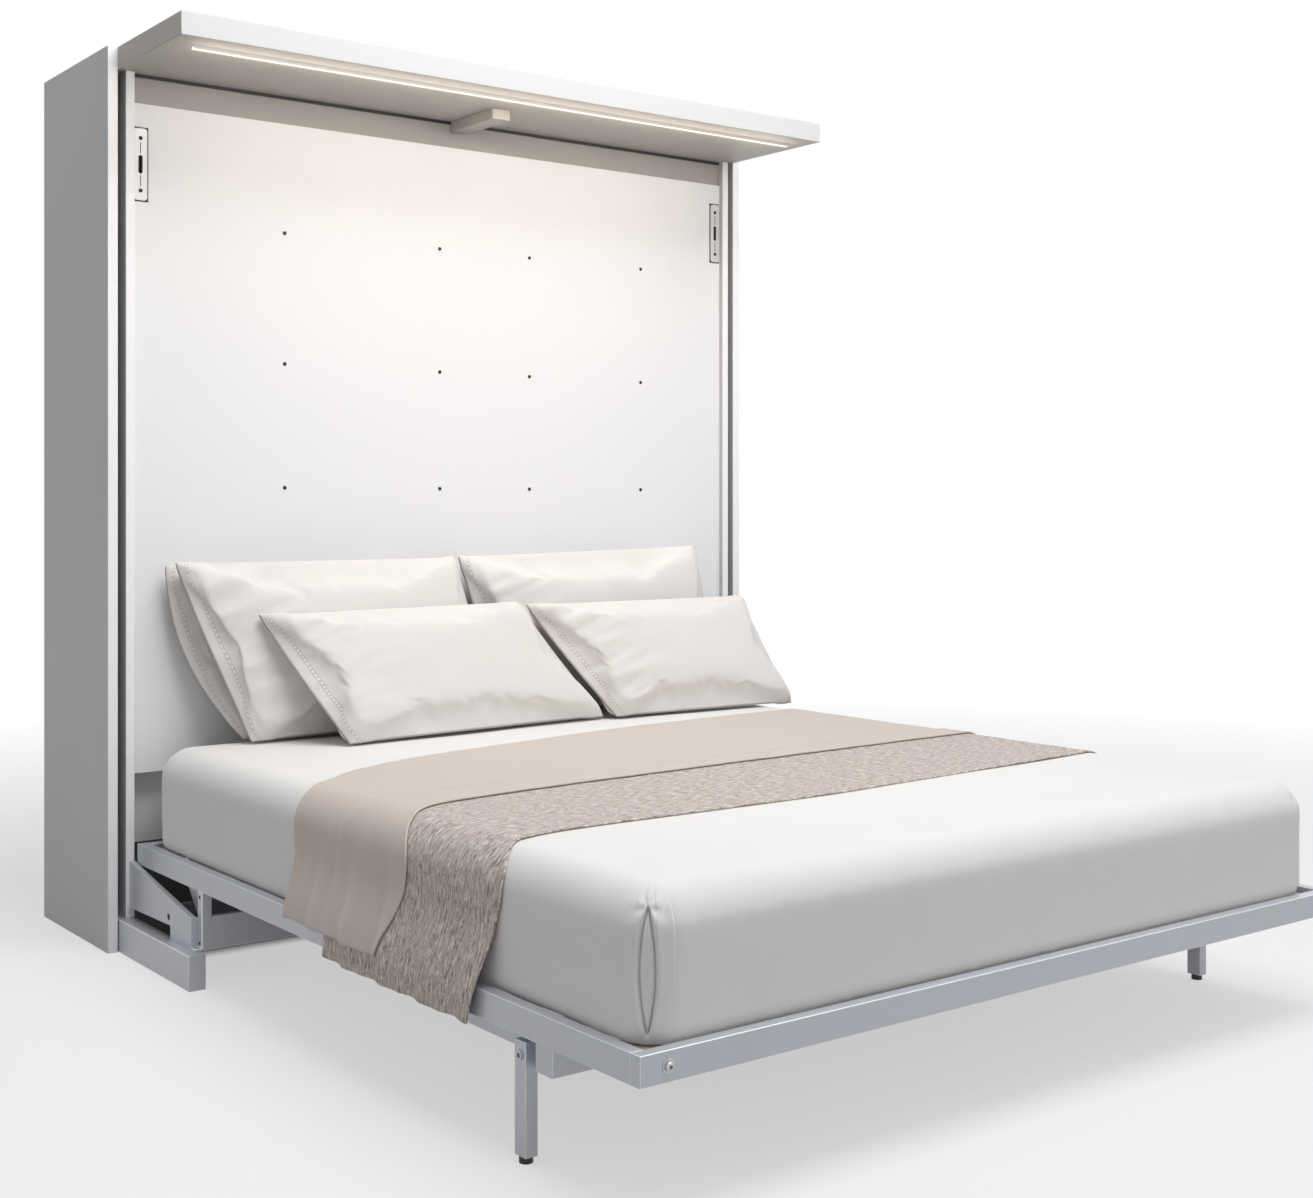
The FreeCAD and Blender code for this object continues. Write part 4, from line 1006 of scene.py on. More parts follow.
def build_mattress():
    """The fitted sheet as a closed shell: a wall all round, a flat underside and a soft top."""
    low, high = MATTRESS_LOW, MATTRESS_HIGH
    centre = (low + high) / 2
    half = (high - low) / 2
    core_x = half.x - EDGE_ROUNDING
    core_y = half.y - EDGE_ROUNDING
    stations = wall_stations(core_x, core_y)
    count = len(stations)
    mesh = bmesh.new()
    cloth_map = mesh.loops.layers.uv.new("cloth")
    bmesh.ops.create_grid(mesh, x_segments=count, y_segments=SIDE_ROWS, size=0.5, calc_uvs=False)
    around = 2 * (half.x + half.y) * 2
    for vert in mesh.verts:
        column = round((vert.co.x + 0.5) * count) % count
        core, outward, offset = stations[column]
        out, height = wall_profile(vert.co.y + 0.5, low.z, high.z)
        level = (height - low.z) / (high.z - low.z)
        out_of_wall = out / EDGE_ROUNDING
        ripple = unevenness(column / count * around, height, WALL_RIPPLES)
        start, growth, end, decline = CREASE_SHARES
        fade = smooth_step((level - start) / growth) * smooth_step((end - level) / decline)
        out += (side_swell(height) + CREASE_DEPTH * ripple * fade) * out_of_wall
        if abs(offset) <= math.pi / 4:
            out -= corner_fold(offset * EDGE_ROUNDING, level, high.z - low.z) * out_of_wall
        place = core + outward * out
        vert.co = Vector((centre.x + place.x, centre.y + place.y, height))
    for z, upwards in ((high.z, True), (low.z, False)):
        made = bmesh.ops.create_grid(
            mesh, x_segments=WIDTH_STEPS, y_segments=LENGTH_STEPS, size=0.5, calc_uvs=False,
        )
        for vert in made["verts"]:
            vert.co = Vector((
                centre.x + vert.co.x * 2 * core_x, centre.y + vert.co.y * 2 * core_y, z,
            ))
            if upwards:
                edge_x = 1 - abs(vert.co.x - centre.x) / core_x
                edge_y = 1 - abs(vert.co.y - centre.y) / core_y
                calm = smooth_step(min(edge_x, edge_y) * TOP_CALM_REACH)
                vert.co.z += unevenness(vert.co.x, vert.co.y, TOP_WAVES) * calm
    bmesh.ops.remove_doubles(mesh, verts=mesh.verts, dist=WELD)
    bmesh.ops.recalc_face_normals(mesh, faces=mesh.faces[:])
    smooth_faces(mesh)
    for face in mesh.faces:
        first, second = (1, 2) if abs(face.normal.x) > abs(face.normal.y) else (0, 2)
        if abs(face.normal.z) > LEVEL_FACING:
            first, second = (0, 1)
        for loop in face.loops:
            loop[cloth_map].uv = (loop.vert.co[first], loop.vert.co[second])
    cotton = cotton_material("ivory_sheet", SHEET_COLOUR, SHEET_SHADE, *SHEET_CLOTH)
    piece = add_piece(mesh, "mattress_sheet", "bed", cotton, ("mattress",))


build_mattress()


# Throws
# A heathered taupe knit lies across the bed, and a plain brushed beige throw lies over its head
# side edge. Both hang down past the side rails and slip towards the foot on the left.
KNIT_THICKNESS = 0.0036
PLAIN_THICKNESS = 0.0042
THROW_SEAT = 0.0006
THROW_ACROSS_STEPS = 300
THROW_ALONG_STEPS = 60
THROW_EDGE_DEGREES = 60
THROW_EDGE_SHARE = 0.42
CABINET_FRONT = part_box("left_side_panel")[0].y
RAIL_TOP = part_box("left_side_rail")[1].z
RAIL_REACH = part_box("right_side_rail")[1].x
RAIL_CLEARANCE = 0.003
RAIL_SWEEP_TOP = 0.12
RAIL_SWEEP = 0.15
KNIT_HEM_LEFT = 0.200
PLAIN_HEM_LEFT = 0.246
HEM_RIGHT = 0.225
# Distances from the cabinet front, by the place along the cloth counted from the middle of the bed
PLAIN_HEAD_EDGE = (
    (-1.16, 0.868), (-1.02, 0.858), (-0.93, 0.838), (-0.84, 0.812), (-0.70, 0.705),
    (-0.49, 0.617), (-0.03, 0.520), (0.20, 0.478), (0.60, 0.446), (1.16, 0.430),
)
PLAIN_FOOT_EDGE = (
    (-1.16, 1.240), (-1.13, 1.259), (-1.05, 1.306), (-0.94, 1.324), (-0.87, 1.270),
    (-0.79, 1.215), (-0.67, 1.190), (-0.47, 1.172), (0.14, 1.141), (0.83, 1.115), (1.16, 1.105),
)
KNIT_HEAD_EDGE = (
    (-1.20, 1.035), (-0.95, 1.060), (-0.70, 1.075), (0.0, 1.055), (0.83, 1.030), (1.20, 1.020),
)
KNIT_FOOT_EDGE = (
    (-1.18, 1.598), (-1.10, 1.618), (-1.01, 1.634), (-0.92, 1.646), (-0.835, 1.592),
    (-0.72, 1.566), (-0.30, 1.572), (0.0, 1.570), (0.83, 1.505), (1.20, 1.490),
)
EDGE_CURL = 0.0014
EDGE_CURL_REACH = 0.018
STEP_UP_REACH = 0.03
FOLD_SPREAD = 0.155
FOLD_SWING = 0.0042
HANG_START = 0.03
HANG_REACH = 0.24
HANG_STAND_OFF = 1.6
# Folds that hang from the rail: strength, share of the spread, where they start, and their slant
HANG_FOLDS = ((1.0, 1.0, 1.7, 2.5), (0.5, 0.47, 3.6, 0.0))
HANG_WAVES = ((0.9, 6.0, 7.0, 4.0),)
CLOTH_RIPPLES = ((0.0008, 9.0, 14.0, 9.0),)
CLOTH_RIPPLE_LIFT = 0.00048


def cloth_push(place, out):
    """How far the hanging cloth stands off in soft folds that grow towards the hem."""
    hang = smooth_step((abs(place) - MATTRESS_HIGH.x + HANG_START) / HANG_REACH)
    wave = sum(
        strength * math.sin(out * math.tau / (FOLD_SPREAD * share) + start + slant * place)
        for strength, share, start, slant in HANG_FOLDS
    )
    wave += unevenness(place, out, HANG_WAVES)
    ripple = unevenness(place, out, CLOTH_RIPPLES) + CLOTH_RIPPLE_LIFT
    return FOLD_SWING * hang * (wave + HANG_STAND_OFF) + ripple


def along_edge(edge, place):
    """Value of an edge at a place between its points, with soft turns."""
    if place <= edge[0][0]:
        return edge[0][1]
    for index in range(len(edge) - 1):
        (start, value), (end, following) = edge[index], edge[index + 1]
        if place <= end:
            before = edge[max(index - 1, 0)]
            after = edge[min(index + 2, len(edge) - 1)]
            share = (place - start) / (end - start)
            leaving = (following - before[1]) / (end - before[0]) * (end - start)
            arriving = (after[1] - value) / (after[0] - start) * (end - start)
            square = share * share
            cube = square * share
            return (
                value * (2 * cube - 3 * square + 1) + leaving * (cube - 2 * square + share)
                + following * (3 * square - 2 * cube) + arriving * (cube - square)
            )
    return edge[-1][1]


def over_mattress(place, lift):
    """Point and outward normal across the bed at a place along the cloth, which rests lift above it."""
    side = 1 if place > 0 else -1
    run = abs(place)
    if run < TOP_FLAT:
        return Vector((place, 0, MATTRESS_HIGH.z + lift)), Vector((0, 0, 1))
    if run < TOP_FLAT + TOP_ARC:
        angle = (run - TOP_FLAT) / EDGE_ROUNDING
        outward = Vector((side * math.sin(angle), 0, math.cos(angle)))
        height = MATTRESS_HIGH.z - EDGE_ROUNDING * (1 - math.cos(angle))
        swollen = TOP_FLAT + side_swell(height) * math.sin(angle)
        core = Vector((side * swollen, 0, TOP_CORE))
        return core + outward * (EDGE_ROUNDING + lift), outward
    down = TOP_CORE - (run - TOP_FLAT - TOP_ARC)
    away = smooth_step((RAIL_TOP + RAIL_SWEEP_TOP - down) / RAIL_SWEEP)
    over_rail = RAIL_REACH - MATTRESS_HIGH.x + RAIL_CLEARANCE
    reach = MATTRESS_HIGH.x + side_swell(down) * (1 - away) + over_rail * away
    return Vector((side * (reach + lift), 0, down)), Vector((side, 0, 0))


def cloth_reach(hem):
    """Distance along the cloth from the middle of the bed to a hem at that height."""
    return TOP_FLAT + TOP_ARC + TOP_CORE - hem


def build_throw(name, head_edge, foot_edge, left_hem, thickness, lift_at, material):
    """A sheet laid over the mattress, with its thickness and rounded edges."""
    mesh = bmesh.new()
    cloth_map = mesh.loops.layers.uv.new("cloth")
    bmesh.ops.create_grid(
        mesh, x_segments=THROW_ACROSS_STEPS, y_segments=THROW_ALONG_STEPS, size=0.5,
        calc_uvs=False,
    )
    left = -cloth_reach(left_hem)
    length = cloth_reach(HEM_RIGHT) - left
    flat_place = {}
    for vert in mesh.verts:
        place = left + (vert.co.x + 0.5) * length
        share = vert.co.y + 0.5
        out = along_edge(foot_edge, place) * (1 - share) + along_edge(head_edge, place) * share
        flat_place[vert.index] = (place, out)
        point, normal = over_mattress(place, lift_at(place, out))
        point += normal * cloth_push(place, out)
        vert.co = Vector((point.x, CABINET_FRONT - out, point.z))
    for face in mesh.faces:
        for loop in face.loops:
            loop[cloth_map].uv = flat_place[loop.vert.index]
    area = sum(face.calc_area() for face in mesh.faces)
    bmesh.ops.recalc_face_normals(mesh, faces=mesh.faces[:])
    top = max(mesh.faces, key=lambda face: face.calc_center_median().z)
    if top.normal.z < 0:
        bmesh.ops.reverse_faces(mesh, faces=mesh.faces[:])
    bmesh.ops.solidify(mesh, geom=mesh.faces[:], thickness=-thickness)
    bevel(mesh, edges_over(mesh, THROW_EDGE_DEGREES), thickness * THROW_EDGE_SHARE)
    smooth_faces(mesh)
    piece = add_piece(mesh, f"{name}_cloth", "bed", material, (name,))


KNIT_COLOUR = (0.61, 0.53, 0.48)
KNIT_SHADE = (0.48, 0.41, 0.37)
KNIT_PALE = (0.80, 0.73, 0.69)
KNIT_DARK = (0.29, 0.24, 0.215)
PLAIN_PALE = (0.69, 0.61, 0.555)
PLAIN_DARK = (0.62, 0.545, 0.49)
# Scales across and along the yarn, and detail, of the short dashes, the ticks and the yarn's tone
YARN_DASHES = (185.0, 44.0, 1.0)
YARN_TICKS = (260.0, 125.0, 1.0)
YARN_TONE = (60.0, 9.0, 3.0)
YARN_WANDER = (0.004, 0.012, 0.0)
WANDER_SCALE = 9.0
DASH_SHARE = 0.62
PALE_RANGE = (0.525, 0.595)
DARK_RANGE = (0.45, 0.385)
KNIT_RELIEF = (0.9, 0.006)
NAP_FIBRES = (900.0, 500.0, 2.0)
NAP_CLOUD_SCALE = 11.0
NAP_CLOUD_SHARE = 0.6
NAP_RELIEF = (0.5, 0.0008)


def yarn_noise(tree, place, across, along, detail):
    """Noise in metres of the cloth's map, stretched along its length."""
    return noise_over(tree, stretched(tree, place, (along, across, 1.0)), 1.0, detail, 0.55)


def knit_material():
    """Heathered knit: short light and dark dashes of yarn down the cloth, over uneven stitches."""
    material, tree = new_material(
        "heathered_knit", 0.9, Sheen_Weight=0.3, Sheen_Roughness=0.5, Specular_IOR_Level=0.2,
    )
    place = coordinates(tree, "UV")
    bent = add_node(tree, "ShaderNodeTexNoise", {"Vector": place, "Scale": WANDER_SCALE})
    wander = vector_node(tree, "MULTIPLY", bent.outputs["Color"], YARN_WANDER)
    laid = vector_node(tree, "ADD", place, wander)
    height = weighed(
        tree, DASH_SHARE, yarn_noise(tree, laid, *YARN_DASHES), yarn_noise(tree, laid, *YARN_TICKS),
    )
    heather = mix_colour(tree, yarn_noise(tree, laid, *YARN_TONE), KNIT_SHADE, KNIT_COLOUR)
    raised = mix_colour(tree, map_range(tree, height, *PALE_RANGE), heather, KNIT_PALE)
    tint = mix_colour(tree, map_range(tree, height, *DARK_RANGE), raised, KNIT_DARK)
    feed(tree, "Base Color", tint)
    bump(tree, height, *KNIT_RELIEF)
    return material


def brushed_cloth_material():
    """Brushed wool blend: a soft nap with faint clouds and a fine fibre grain."""
    material, tree = new_material(
        "brushed_beige", 0.9, Sheen_Weight=0.5, Sheen_Roughness=0.4, Specular_IOR_Level=0.2,
    )
    place = coordinates(tree, "UV")
    clouds = noise_over(tree, place, NAP_CLOUD_SCALE, 4.0, 0.6)
    fibres = yarn_noise(tree, place, *NAP_FIBRES)
    tone = weighed(tree, NAP_CLOUD_SHARE, clouds, fibres)
    feed(tree, "Base Color", mix_colour(tree, tone, PLAIN_DARK, PLAIN_PALE))
    bump(tree, fibres, *NAP_RELIEF)
    return material


def foot_curl(edge, place, out):
    """How far a throw curls up at its foot edge."""
    return EDGE_CURL * smooth_step(1 - (along_edge(edge, place) - out) / EDGE_CURL_REACH)


def knit_lift(place, out):
    """The knit lies on the mattress, and its foot edge curls up by a hair."""
    return THROW_SEAT + foot_curl(KNIT_FOOT_EDGE, place, out) / 2


def plain_lift(place, out):
    """The plain throw rests on the mattress, and steps up where the knit lies under it."""
    over = out - along_edge(KNIT_HEAD_EDGE, place)
    step_up = (KNIT_THICKNESS + THROW_SEAT) * smooth_step(1 + over / STEP_UP_REACH)
    return THROW_SEAT + step_up + foot_curl(PLAIN_FOOT_EDGE, place, out)


build_throw(
    "knitted_throw", KNIT_HEAD_EDGE, KNIT_FOOT_EDGE, KNIT_HEM_LEFT, KNIT_THICKNESS, knit_lift,
    knit_material(),
)
build_throw(
    "plain_throw", PLAIN_HEAD_EDGE, PLAIN_FOOT_EDGE, PLAIN_HEM_LEFT, PLAIN_THICKNESS, plain_lift,
    brushed_cloth_material(),
)


# Pillows
# Five feather pillows in off white cotton cases, each with a flat hem on its left side, held by
# a line of small stitches. Three lean on the back board and two lie against them in front.
PILLOW_COLOUR = (0.79, 0.765, 0.75)
PILLOW_SHADE = (0.72, 0.69, 0.67)
PILLOW_CLOTH = (0.2, 900.0, 0.0016, 16.0)
PILLOW_WIDTH = 0.780
PILLOW_HEIGHT = 0.455
PILLOW_COLUMNS = 80
PILLOW_ROWS = 48
HEM_WIDTH = PILLOW_WIDTH * 3 / PILLOW_COLUMNS
HEM_GROOVE = 0.0016
HEM_GROOVE_WIDTH = 0.006
SEAM_DRAW_SHARE = 0.10
SEAM_SHADE_WIDTH = 0.006
SEAM_SHADE_SHARE = 0.8
SEAM_SHADE_COLOUR = (0.30, 0.26, 0.235)
STITCH_LENGTH = 0.006
STITCH_WIDTH = 0.0032
STITCH_SHARE = 0.65
THREAD_COLOUR = (0.97, 0.96, 0.94)
START_FILL_SHARE = 0.45
# How square the unfilled case is across and up, and how full its crown is
CASE_POWERS = (2.6, 2.4, 0.6)
SEAM_HALF_THICKNESS = 0.0016
PILLOW_CAP = 0.055
SWELL_FRAMES = 20
FILLING = {
    "quality": 6, "mass": 0.25, "tension_stiffness": 40, "compression_stiffness": 40,
    "shear_stiffness": 12, "bending_stiffness": 0.35, "use_pressure": True,
    "uniform_pressure_force": 5.0,
}
# Creases that fan out from the hem, puckers over the foot seam, and soft dents all over
FAN_SLANT_SHARE = 0.35
# Where left of the middle the fan starts, how fast it grows, and how near the edge it dies
FAN_SHARES = (0.5, 0.4, 0.06)
FAN_CREASES = ((0.009, 4.0, 26.0, 0.0), (0.0054, 9.0, 55.0, 1.0))
FOOT_PUCKERS = ((0.003, 30.0, 6.0, 3.0),)
PUCKER_SHARE = 0.25
SOFT_DENTS = ((0.005, 5.0, 6.0, 7.0),)
DENT_CALM_SHARE = 0.2
PILLOW_SEAT = MATTRESS_HIGH.z + 0.0015
SEAM_SEAT = PILLOW_SEAT + 0.004
# Each pillow: CAD node, thickness, corners at the foot of the case and at its top, how suddenly its
# left edge sweeps forward, how far its middle bows to the front, and a number for its creases
PILLOWS = (
    ("rear_left_pillow", 0.060, (-0.700, 0.700), (-0.130, 0.730),
     (-0.868, 0.786, 0.947), (-0.180, 0.786, 0.945), 2.2, 0.000, 2.0),
    ("middle_left_pillow", 0.082, (-0.705, 0.640), (0.030, 0.655),
     (-0.861, 0.742, 0.956), (-0.062, 0.742, 0.955), 1.15, 0.020, 5.0),
    ("rear_right_pillow", 0.110, (0.080, 0.690), (0.850, 0.690),
     (-0.040, 0.765, 0.955), (0.795, 0.765, 0.972), 1.1, 0.000, 9.0),
    ("front_left_pillow", 0.120, (-0.530, 0.455), (0.290, 0.530),
     (-0.683, 0.650, 0.825), (0.083, 0.655, 0.831), 1.1, 0.006, 13.0),
    ("front_right_pillow", 0.120, (0.310, 0.500), (0.930, 0.470),
     (0.100, 0.640, 0.823), (0.880, 0.650, 0.822), 1.1, 0.006, 21.0),
)


def pillow_material():
    """Case cotton with painted shade as fine dark lines at its side and foot seams and in the hem
    groove, and pale stitches along the hem.
    """
    material = cotton_material("pillow_cotton", PILLOW_COLOUR, PILLOW_SHADE, *PILLOW_CLOTH)
    tree = material.node_tree
    on_case = coordinates(tree, "UV")
    from_left = math_node(tree, "ADD", part_of(tree, on_case, "X"), PILLOW_WIDTH / 2)
    from_side = math_node(tree, "PINGPONG", from_left, PILLOW_WIDTH / 2)
    from_foot = math_node(tree, "ADD", part_of(tree, on_case, "Y"), PILLOW_HEIGHT / 2)
    from_seam = math_node(tree, "MINIMUM", from_side, from_foot)
    from_hem = math_node(tree, "ABSOLUTE", math_node(tree, "SUBTRACT", from_left, HEM_WIDTH))
    # Painted shade: dark lines at the sides, the foot and the hem groove, where shade falls; none at
    # the lit top.
    seam = map_range(tree, from_seam, SEAM_SHADE_WIDTH, SEAM_SHADE_WIDTH / 3, to_max=SEAM_SHADE_SHARE)
    groove = map_range(
        tree, from_hem, STITCH_WIDTH * 2, STITCH_WIDTH / 2, to_max=SEAM_SHADE_SHARE / 2,
    )
    paint_over(material, math_node(tree, "MAXIMUM", seam, groove), SEAM_SHADE_COLOUR)
    step = math_node(tree, "PINGPONG", from_foot, STITCH_LENGTH)
    thread = math_node(
        tree, "MULTIPLY", math_node(tree, "LESS_THAN", from_hem, STITCH_WIDTH / 2),
        math_node(tree, "LESS_THAN", step, STITCH_LENGTH * STITCH_SHARE),
    )
    return paint_over(material, thread, THREAD_COLOUR)


PILLOW_COTTON = pillow_material()


def start_pillow(name, thickness):
    """The case before it is filled: two faces that meet in a seam, with a flat hem on the left."""
    mesh = bmesh.new()
    cloth_map = mesh.loops.layers.uv.new("cloth")

    def lay_out(faces, shift):
        for face in faces:
            for loop in face.loops:
                loop[cloth_map].uv = (loop.vert.co.x + shift, loop.vert.co.z)

    rims = []
    for side in (-1, 1):
        made = bmesh.ops.create_grid(
            mesh, x_segments=PILLOW_COLUMNS, y_segments=PILLOW_ROWS, size=0.5, calc_uvs=False,
        )
        fresh = set(made["verts"])
        for vert in made["verts"]:
            across = max(0.0, 1 - abs(2 * vert.co.x) ** CASE_POWERS[0])
            up = max(0.0, 1 - abs(2 * vert.co.y) ** CASE_POWERS[1])
            crown = START_FILL_SHARE * thickness / 2 * (across * up) ** CASE_POWERS[2]
            half = SEAM_HALF_THICKNESS + crown
            vert.co = Vector((vert.co.x * PILLOW_WIDTH, side * half, vert.co.y * PILLOW_HEIGHT))
        lay_out({face for vert in fresh for face in vert.link_faces}, 0.0 if side < 0 else PILLOW_WIDTH)
        rims += [
            edge for edge in mesh.edges
            if edge.is_boundary and edge.verts[0] in fresh and edge.verts[1] in fresh
        ]
    lay_out(bmesh.ops.bridge_loops(mesh, edges=rims)["faces"], 0.0)
    bmesh.ops.recalc_face_normals(mesh, faces=mesh.faces[:])
    smooth_faces(mesh)
    return finished_data(mesh, name)


def let_seams_out(data, start):
    """Bring the four seams back to straight lines, but for a small part of what the filling drew in."""
    for axis, line_axis in ((2, 0), (0, 2)):
        lines = {}
        for vert, before in zip(data.vertices, start):
            lines.setdefault(round(before[line_axis], 4), []).append((before[axis], vert))
        for line in lines.values():
            line.sort(key=lambda item: item[0])
            low, high = (line[end][1].co[axis] for end in (0, -1))
            new_low, new_high = (
                line[end][0] + (drawn - line[end][0]) * SEAM_DRAW_SHARE
                for end, drawn in ((0, low), (-1, high))
            )
            stretch = (new_high - new_low) / (high - low)
            for _, vert in line:
                vert.co[axis] = new_low + (vert.co[axis] - low) * stretch


def fill_pillow(piece):
    """Blow the case up with cloth simulation, so that it crowns and its seams pucker."""
    data = piece.data
    start = [vert.co.copy() for vert in data.vertices]
    cloth = piece.modifiers.new("filling", "CLOTH")
    for key, value in FILLING.items():
        setattr(cloth.settings, key, value)
    cloth.settings.effector_weights.gravity = 0.0
    scene = bpy.context.scene
    for step in range(1, SWELL_FRAMES + 1):
        scene.frame_set(step)
    graph = bpy.context.evaluated_depsgraph_get()
    swollen = [vert.co.copy() for vert in piece.evaluated_get(graph).data.vertices]
    piece.modifiers.remove(cloth)
    scene.frame_set(1)
    for vert, before, after in zip(data.vertices, start, swollen):
        move = after - before
        if move.length > PILLOW_CAP:
            move *= PILLOW_CAP / move.length
        vert.co = before + move
    let_seams_out(data, start)


def settle_pillow(data, thickness, crumple):
    """Bring the filled case to its measured size, and crumple it."""
    for axis, wanted in ((0, PILLOW_WIDTH), (1, thickness), (2, PILLOW_HEIGHT)):
        low = min(vert.co[axis] for vert in data.vertices)
        high = max(vert.co[axis] for vert in data.vertices)
        for vert in data.vertices:
            vert.co[axis] = (vert.co[axis] - (low + high) / 2) * wanted / (high - low)
    for vert in data.vertices:
        x, _, z = vert.co
        from_left = x + PILLOW_WIDTH / 2
        left_share = 0.5 - x / PILLOW_WIDTH
        up_share = z / PILLOW_HEIGHT + 0.5
        near_hem = smooth_step((left_share - FAN_SHARES[0]) / FAN_SHARES[1])
        near_hem *= smooth_step((1.0 - left_share) / FAN_SHARES[2])
        push = unevenness(x, z - FAN_SLANT_SHARE * from_left, FAN_CREASES, crumple) * near_hem
        low_pucker = smooth_step((PUCKER_SHARE - up_share) / PUCKER_SHARE)
        push += unevenness(x, z, FOOT_PUCKERS, crumple) * low_pucker
        push += unevenness(x, z, SOFT_DENTS, crumple)
        side = 1 if vert.co.y > 0 else -1
        body = min(1.0, abs(vert.co.y) / (thickness * DENT_CALM_SHARE))
        vert.co.y += side * body * push
        groove = (from_left - HEM_WIDTH) / HEM_GROOVE_WIDTH
        vert.co.y -= side * min(abs(vert.co.y) / 2, HEM_GROOVE * math.exp(-groove ** 2))


def place_pillow(data, foot_left, foot_right, top_left, top_right, sweep, bow):
    """Lay the case between its four corners; its lower edge rests flat on the mattress."""
    foot_left = Vector((*foot_left, SEAM_SEAT))
    foot_right = Vector((*foot_right, SEAM_SEAT))
    top_left = Vector(top_left)
    top_right = Vector(top_right)
    outward = (top_left - foot_left + top_right - foot_right).cross(
        foot_right - foot_left + top_right - top_left
    ).normalized()
    if outward.y > 0:
        outward.negate()
    for vert in data.vertices:
        across = vert.co.x / PILLOW_WIDTH + 0.5
        up = vert.co.z / PILLOW_HEIGHT + 0.5
        left = top_left.lerp(foot_left, max(0.0, 1 - up) ** sweep)
        left.z = top_left.z + (foot_left.z - top_left.z) * (1 - up)
        right = foot_right.lerp(top_right, up)
        belly = 4 * across * (1 - across) * 4 * up * (1 - up)
        vert.co = left.lerp(right, across) + outward * (bow * belly - vert.co.y)
        vert.co.z = max(vert.co.z, PILLOW_SEAT)


for pillow_name, thickness, *corners_and_bend, crumple in PILLOWS:
    case = scene_object(f"{pillow_name}_case", start_pillow(f"{pillow_name}_case", thickness))
    fill_pillow(case)
    settle_pillow(case.data, thickness, crumple)
    place_pillow(case.data, *corners_and_bend)
    case.data.update()
    case.data.materials.append(PILLOW_COTTON)
    softened = case.modifiers.new("softened", "SUBSURF")
    softened.levels = 1
    softened.render_levels = 1
    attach(case, "bed")
    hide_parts(pillow_name)
    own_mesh(case)


# Studio
# A plain pale floor and white surroundings. A large soft lamp above the bed lights the boards and
# the bedding from the front, and weaker ones fill in the rail side.
FLOOR_COLOUR = (0.80, 0.80, 0.80)
FLOOR_BOUNCE_COLOUR = (0.55, 0.55, 0.55)
FLOOR_HALF_SIZE = 14.0
FLOOR_VEIL = 0.55
FLOOR_VEIL_RANGE = (2.0, 5.5)
# Floor that is seen only through gaps keeps its full shade: under the middle of the bed and under
# the cabinet, where it is dark. Each side: axis, where the floor is plain, and where its shade is full
BED_SHADE = (("X", -0.56, -0.45), ("X", 1.0, 0.9), ("Y", -0.45, 0.10), ("Y", 1.3, 1.2))
CABINET_SHADE = (("X", -0.97, -0.93), ("X", 1.0, 0.9), ("Y", 0.62, 0.70), ("Y", 1.3, 1.2))
# Painted shade: the floor's own colour turns near black under the cabinet.
CABINET_FLOOR_PAINTED_SHADE = (0.05, 0.05, 0.052)
WHITE = (1.0, 1.0, 1.0, 1.0)
SURROUND_LEVEL = 0.36
# Each lamp: name, place, aimed at, width, height, watts, spread in degrees
LAMPS = (
    ("key", (0.1, -1.35, 4.1), (0.0, 0.3, 0.8), 3.4, 2.2, 120.0, 180.0),
    ("fill", (2.4, -4.2, 1.5), (0.2, -0.4, 0.6), 2.4, 2.0, 12.0, 180.0),
    ("board", (0.0, -1.15, 2.25), (0.0, 0.85, 2.15), 2.6, 0.5, 3.0, 90.0),
)

floor_mesh = bmesh.new()
bmesh.ops.create_grid(floor_mesh, x_segments=1, y_segments=1, size=FLOOR_HALF_SIZE)
floor = scene_object("floor", finished_data(floor_mesh, "floor"))


def seen_by(tree, *rays):
    """One where the camera sees the surface, itself or by way of the rays named."""
    paths = add_node(tree, "ShaderNodeLightPath").outputs
    seen = paths["Is Camera Ray"]
    for ray in rays:
        seen = math_node(tree, "MAXIMUM", seen, paths[ray])
    return seen


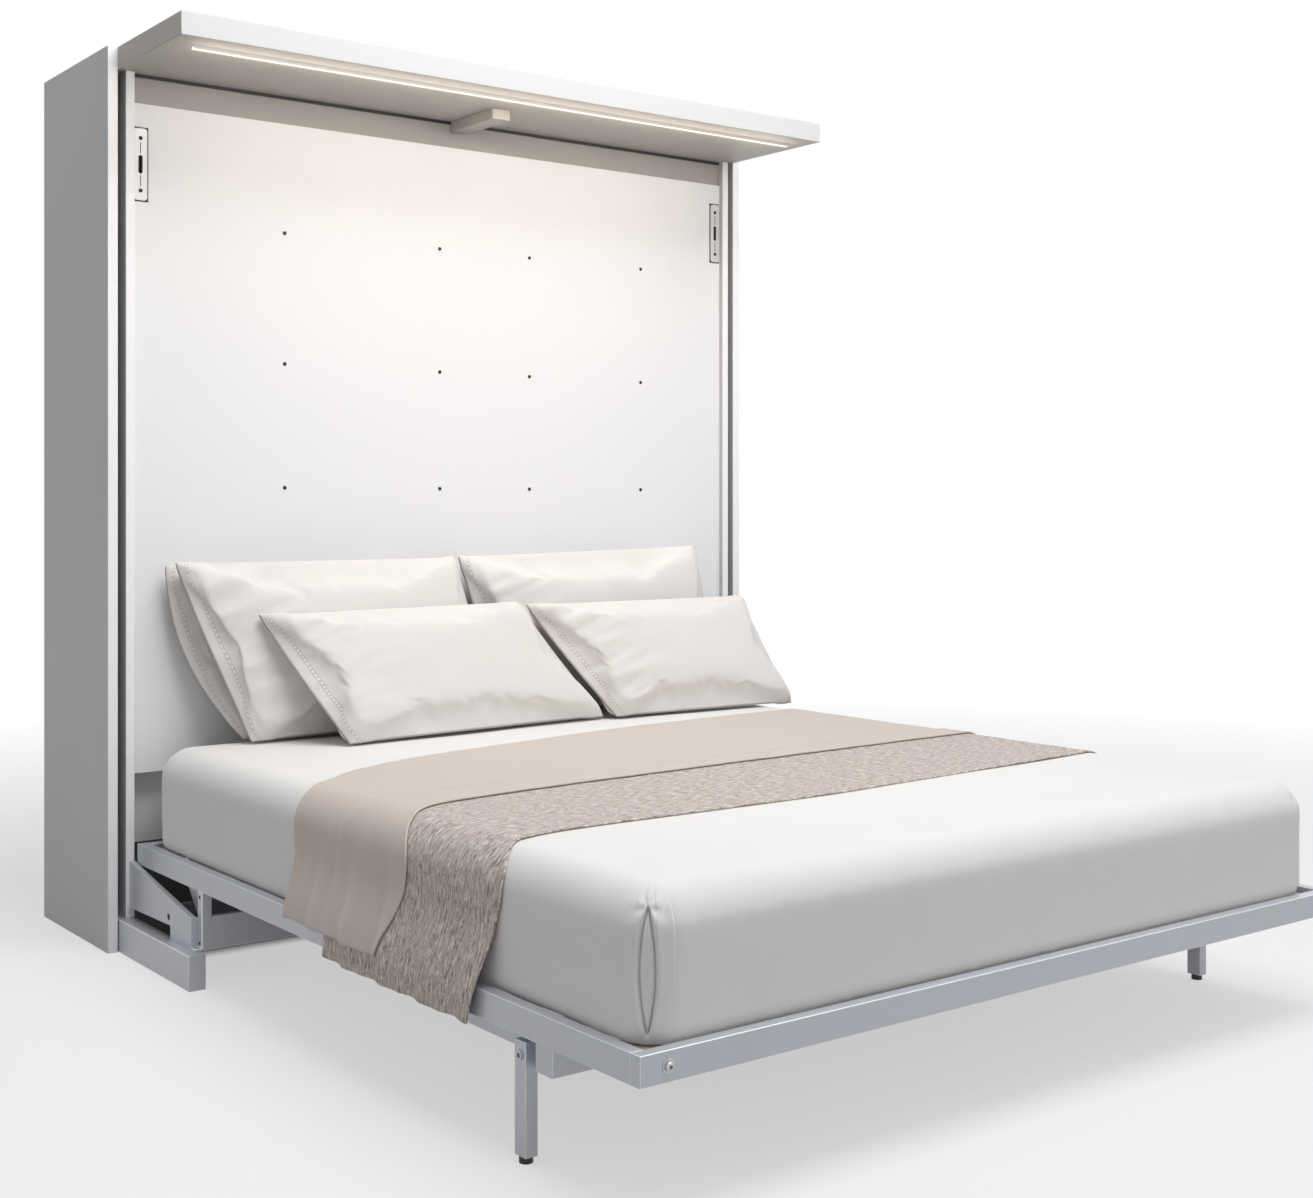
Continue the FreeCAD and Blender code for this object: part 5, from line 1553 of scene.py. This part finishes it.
def outside_of(tree, place, sides):
    """Zero inside a patch of the floor and one outside it, with soft sides."""
    beyond = 0.0
    for axis, outer, inner in sides:
        outside = map_range(tree, part_of(tree, place, axis), inner, outer)
        beyond = math_node(tree, "MAXIMUM", outside, beyond)
    return beyond


def floor_material():
    """Matt pale floor that keeps the shadow of the bed, is darkened under the cabinet as painted shade,
    and turns plain white further out.
    """
    material, tree = new_material("floor", 0.9, Specular_IOR_Level=0.1)
    seen = seen_by(tree, "Is Glossy Ray")
    place = coordinates(tree, "Object")
    off_bed = outside_of(tree, place, BED_SHADE)
    off_cabinet = outside_of(tree, place, CABINET_SHADE)
    colour = mix_colour(tree, seen, FLOOR_BOUNCE_COLOUR, FLOOR_COLOUR)
    feed(tree, "Base Color", mix_colour(tree, off_cabinet, CABINET_FLOOR_PAINTED_SHADE, colour))
    far = map_range(tree, vector_node(tree, "LENGTH", place), *FLOOR_VEIL_RANGE)
    veil = map_range(tree, far, to_min=FLOOR_VEIL)
    lit = math_node(tree, "MINIMUM", off_bed, off_cabinet)
    veiled = math_node(tree, "MULTIPLY", math_node(tree, "MULTIPLY", veil, lit), seen)
    mixed = add_node(tree, "ShaderNodeMixShader", {
        0: veiled, 1: tree.nodes["Principled BSDF"].outputs[0],
        2: add_node(tree, "ShaderNodeEmission", {"Color": WHITE}).outputs[0],
    })
    tree.links.new(mixed.outputs[0], tree.nodes["Material Output"].inputs["Surface"])
    return material


floor.data.materials.append(floor_material())

for lamp_name, place, aim, lamp_width, lamp_height, watts, spread in LAMPS:
    turn = (Vector(aim) - Vector(place)).to_track_quat("-Z", "Y").to_euler()
    lamp = area_lamp(lamp_name, place, turn, lamp_width, lamp_height, watts)
    lamp.spread = math.radians(spread)

world = bpy.data.worlds.new("surround")
world.use_nodes = True
bpy.context.scene.world = world
surround = world.node_tree.nodes["Background"].inputs
surround_seen = seen_by(world.node_tree, "Is Glossy Ray", "Is Transmission Ray")
surround_level = map_range(world.node_tree, surround_seen, to_min=SURROUND_LEVEL)
world.node_tree.links.new(surround_level, surround["Strength"])
surround["Color"].default_value = WHITE

bpy.context.scene.view_settings.view_transform = "Standard"
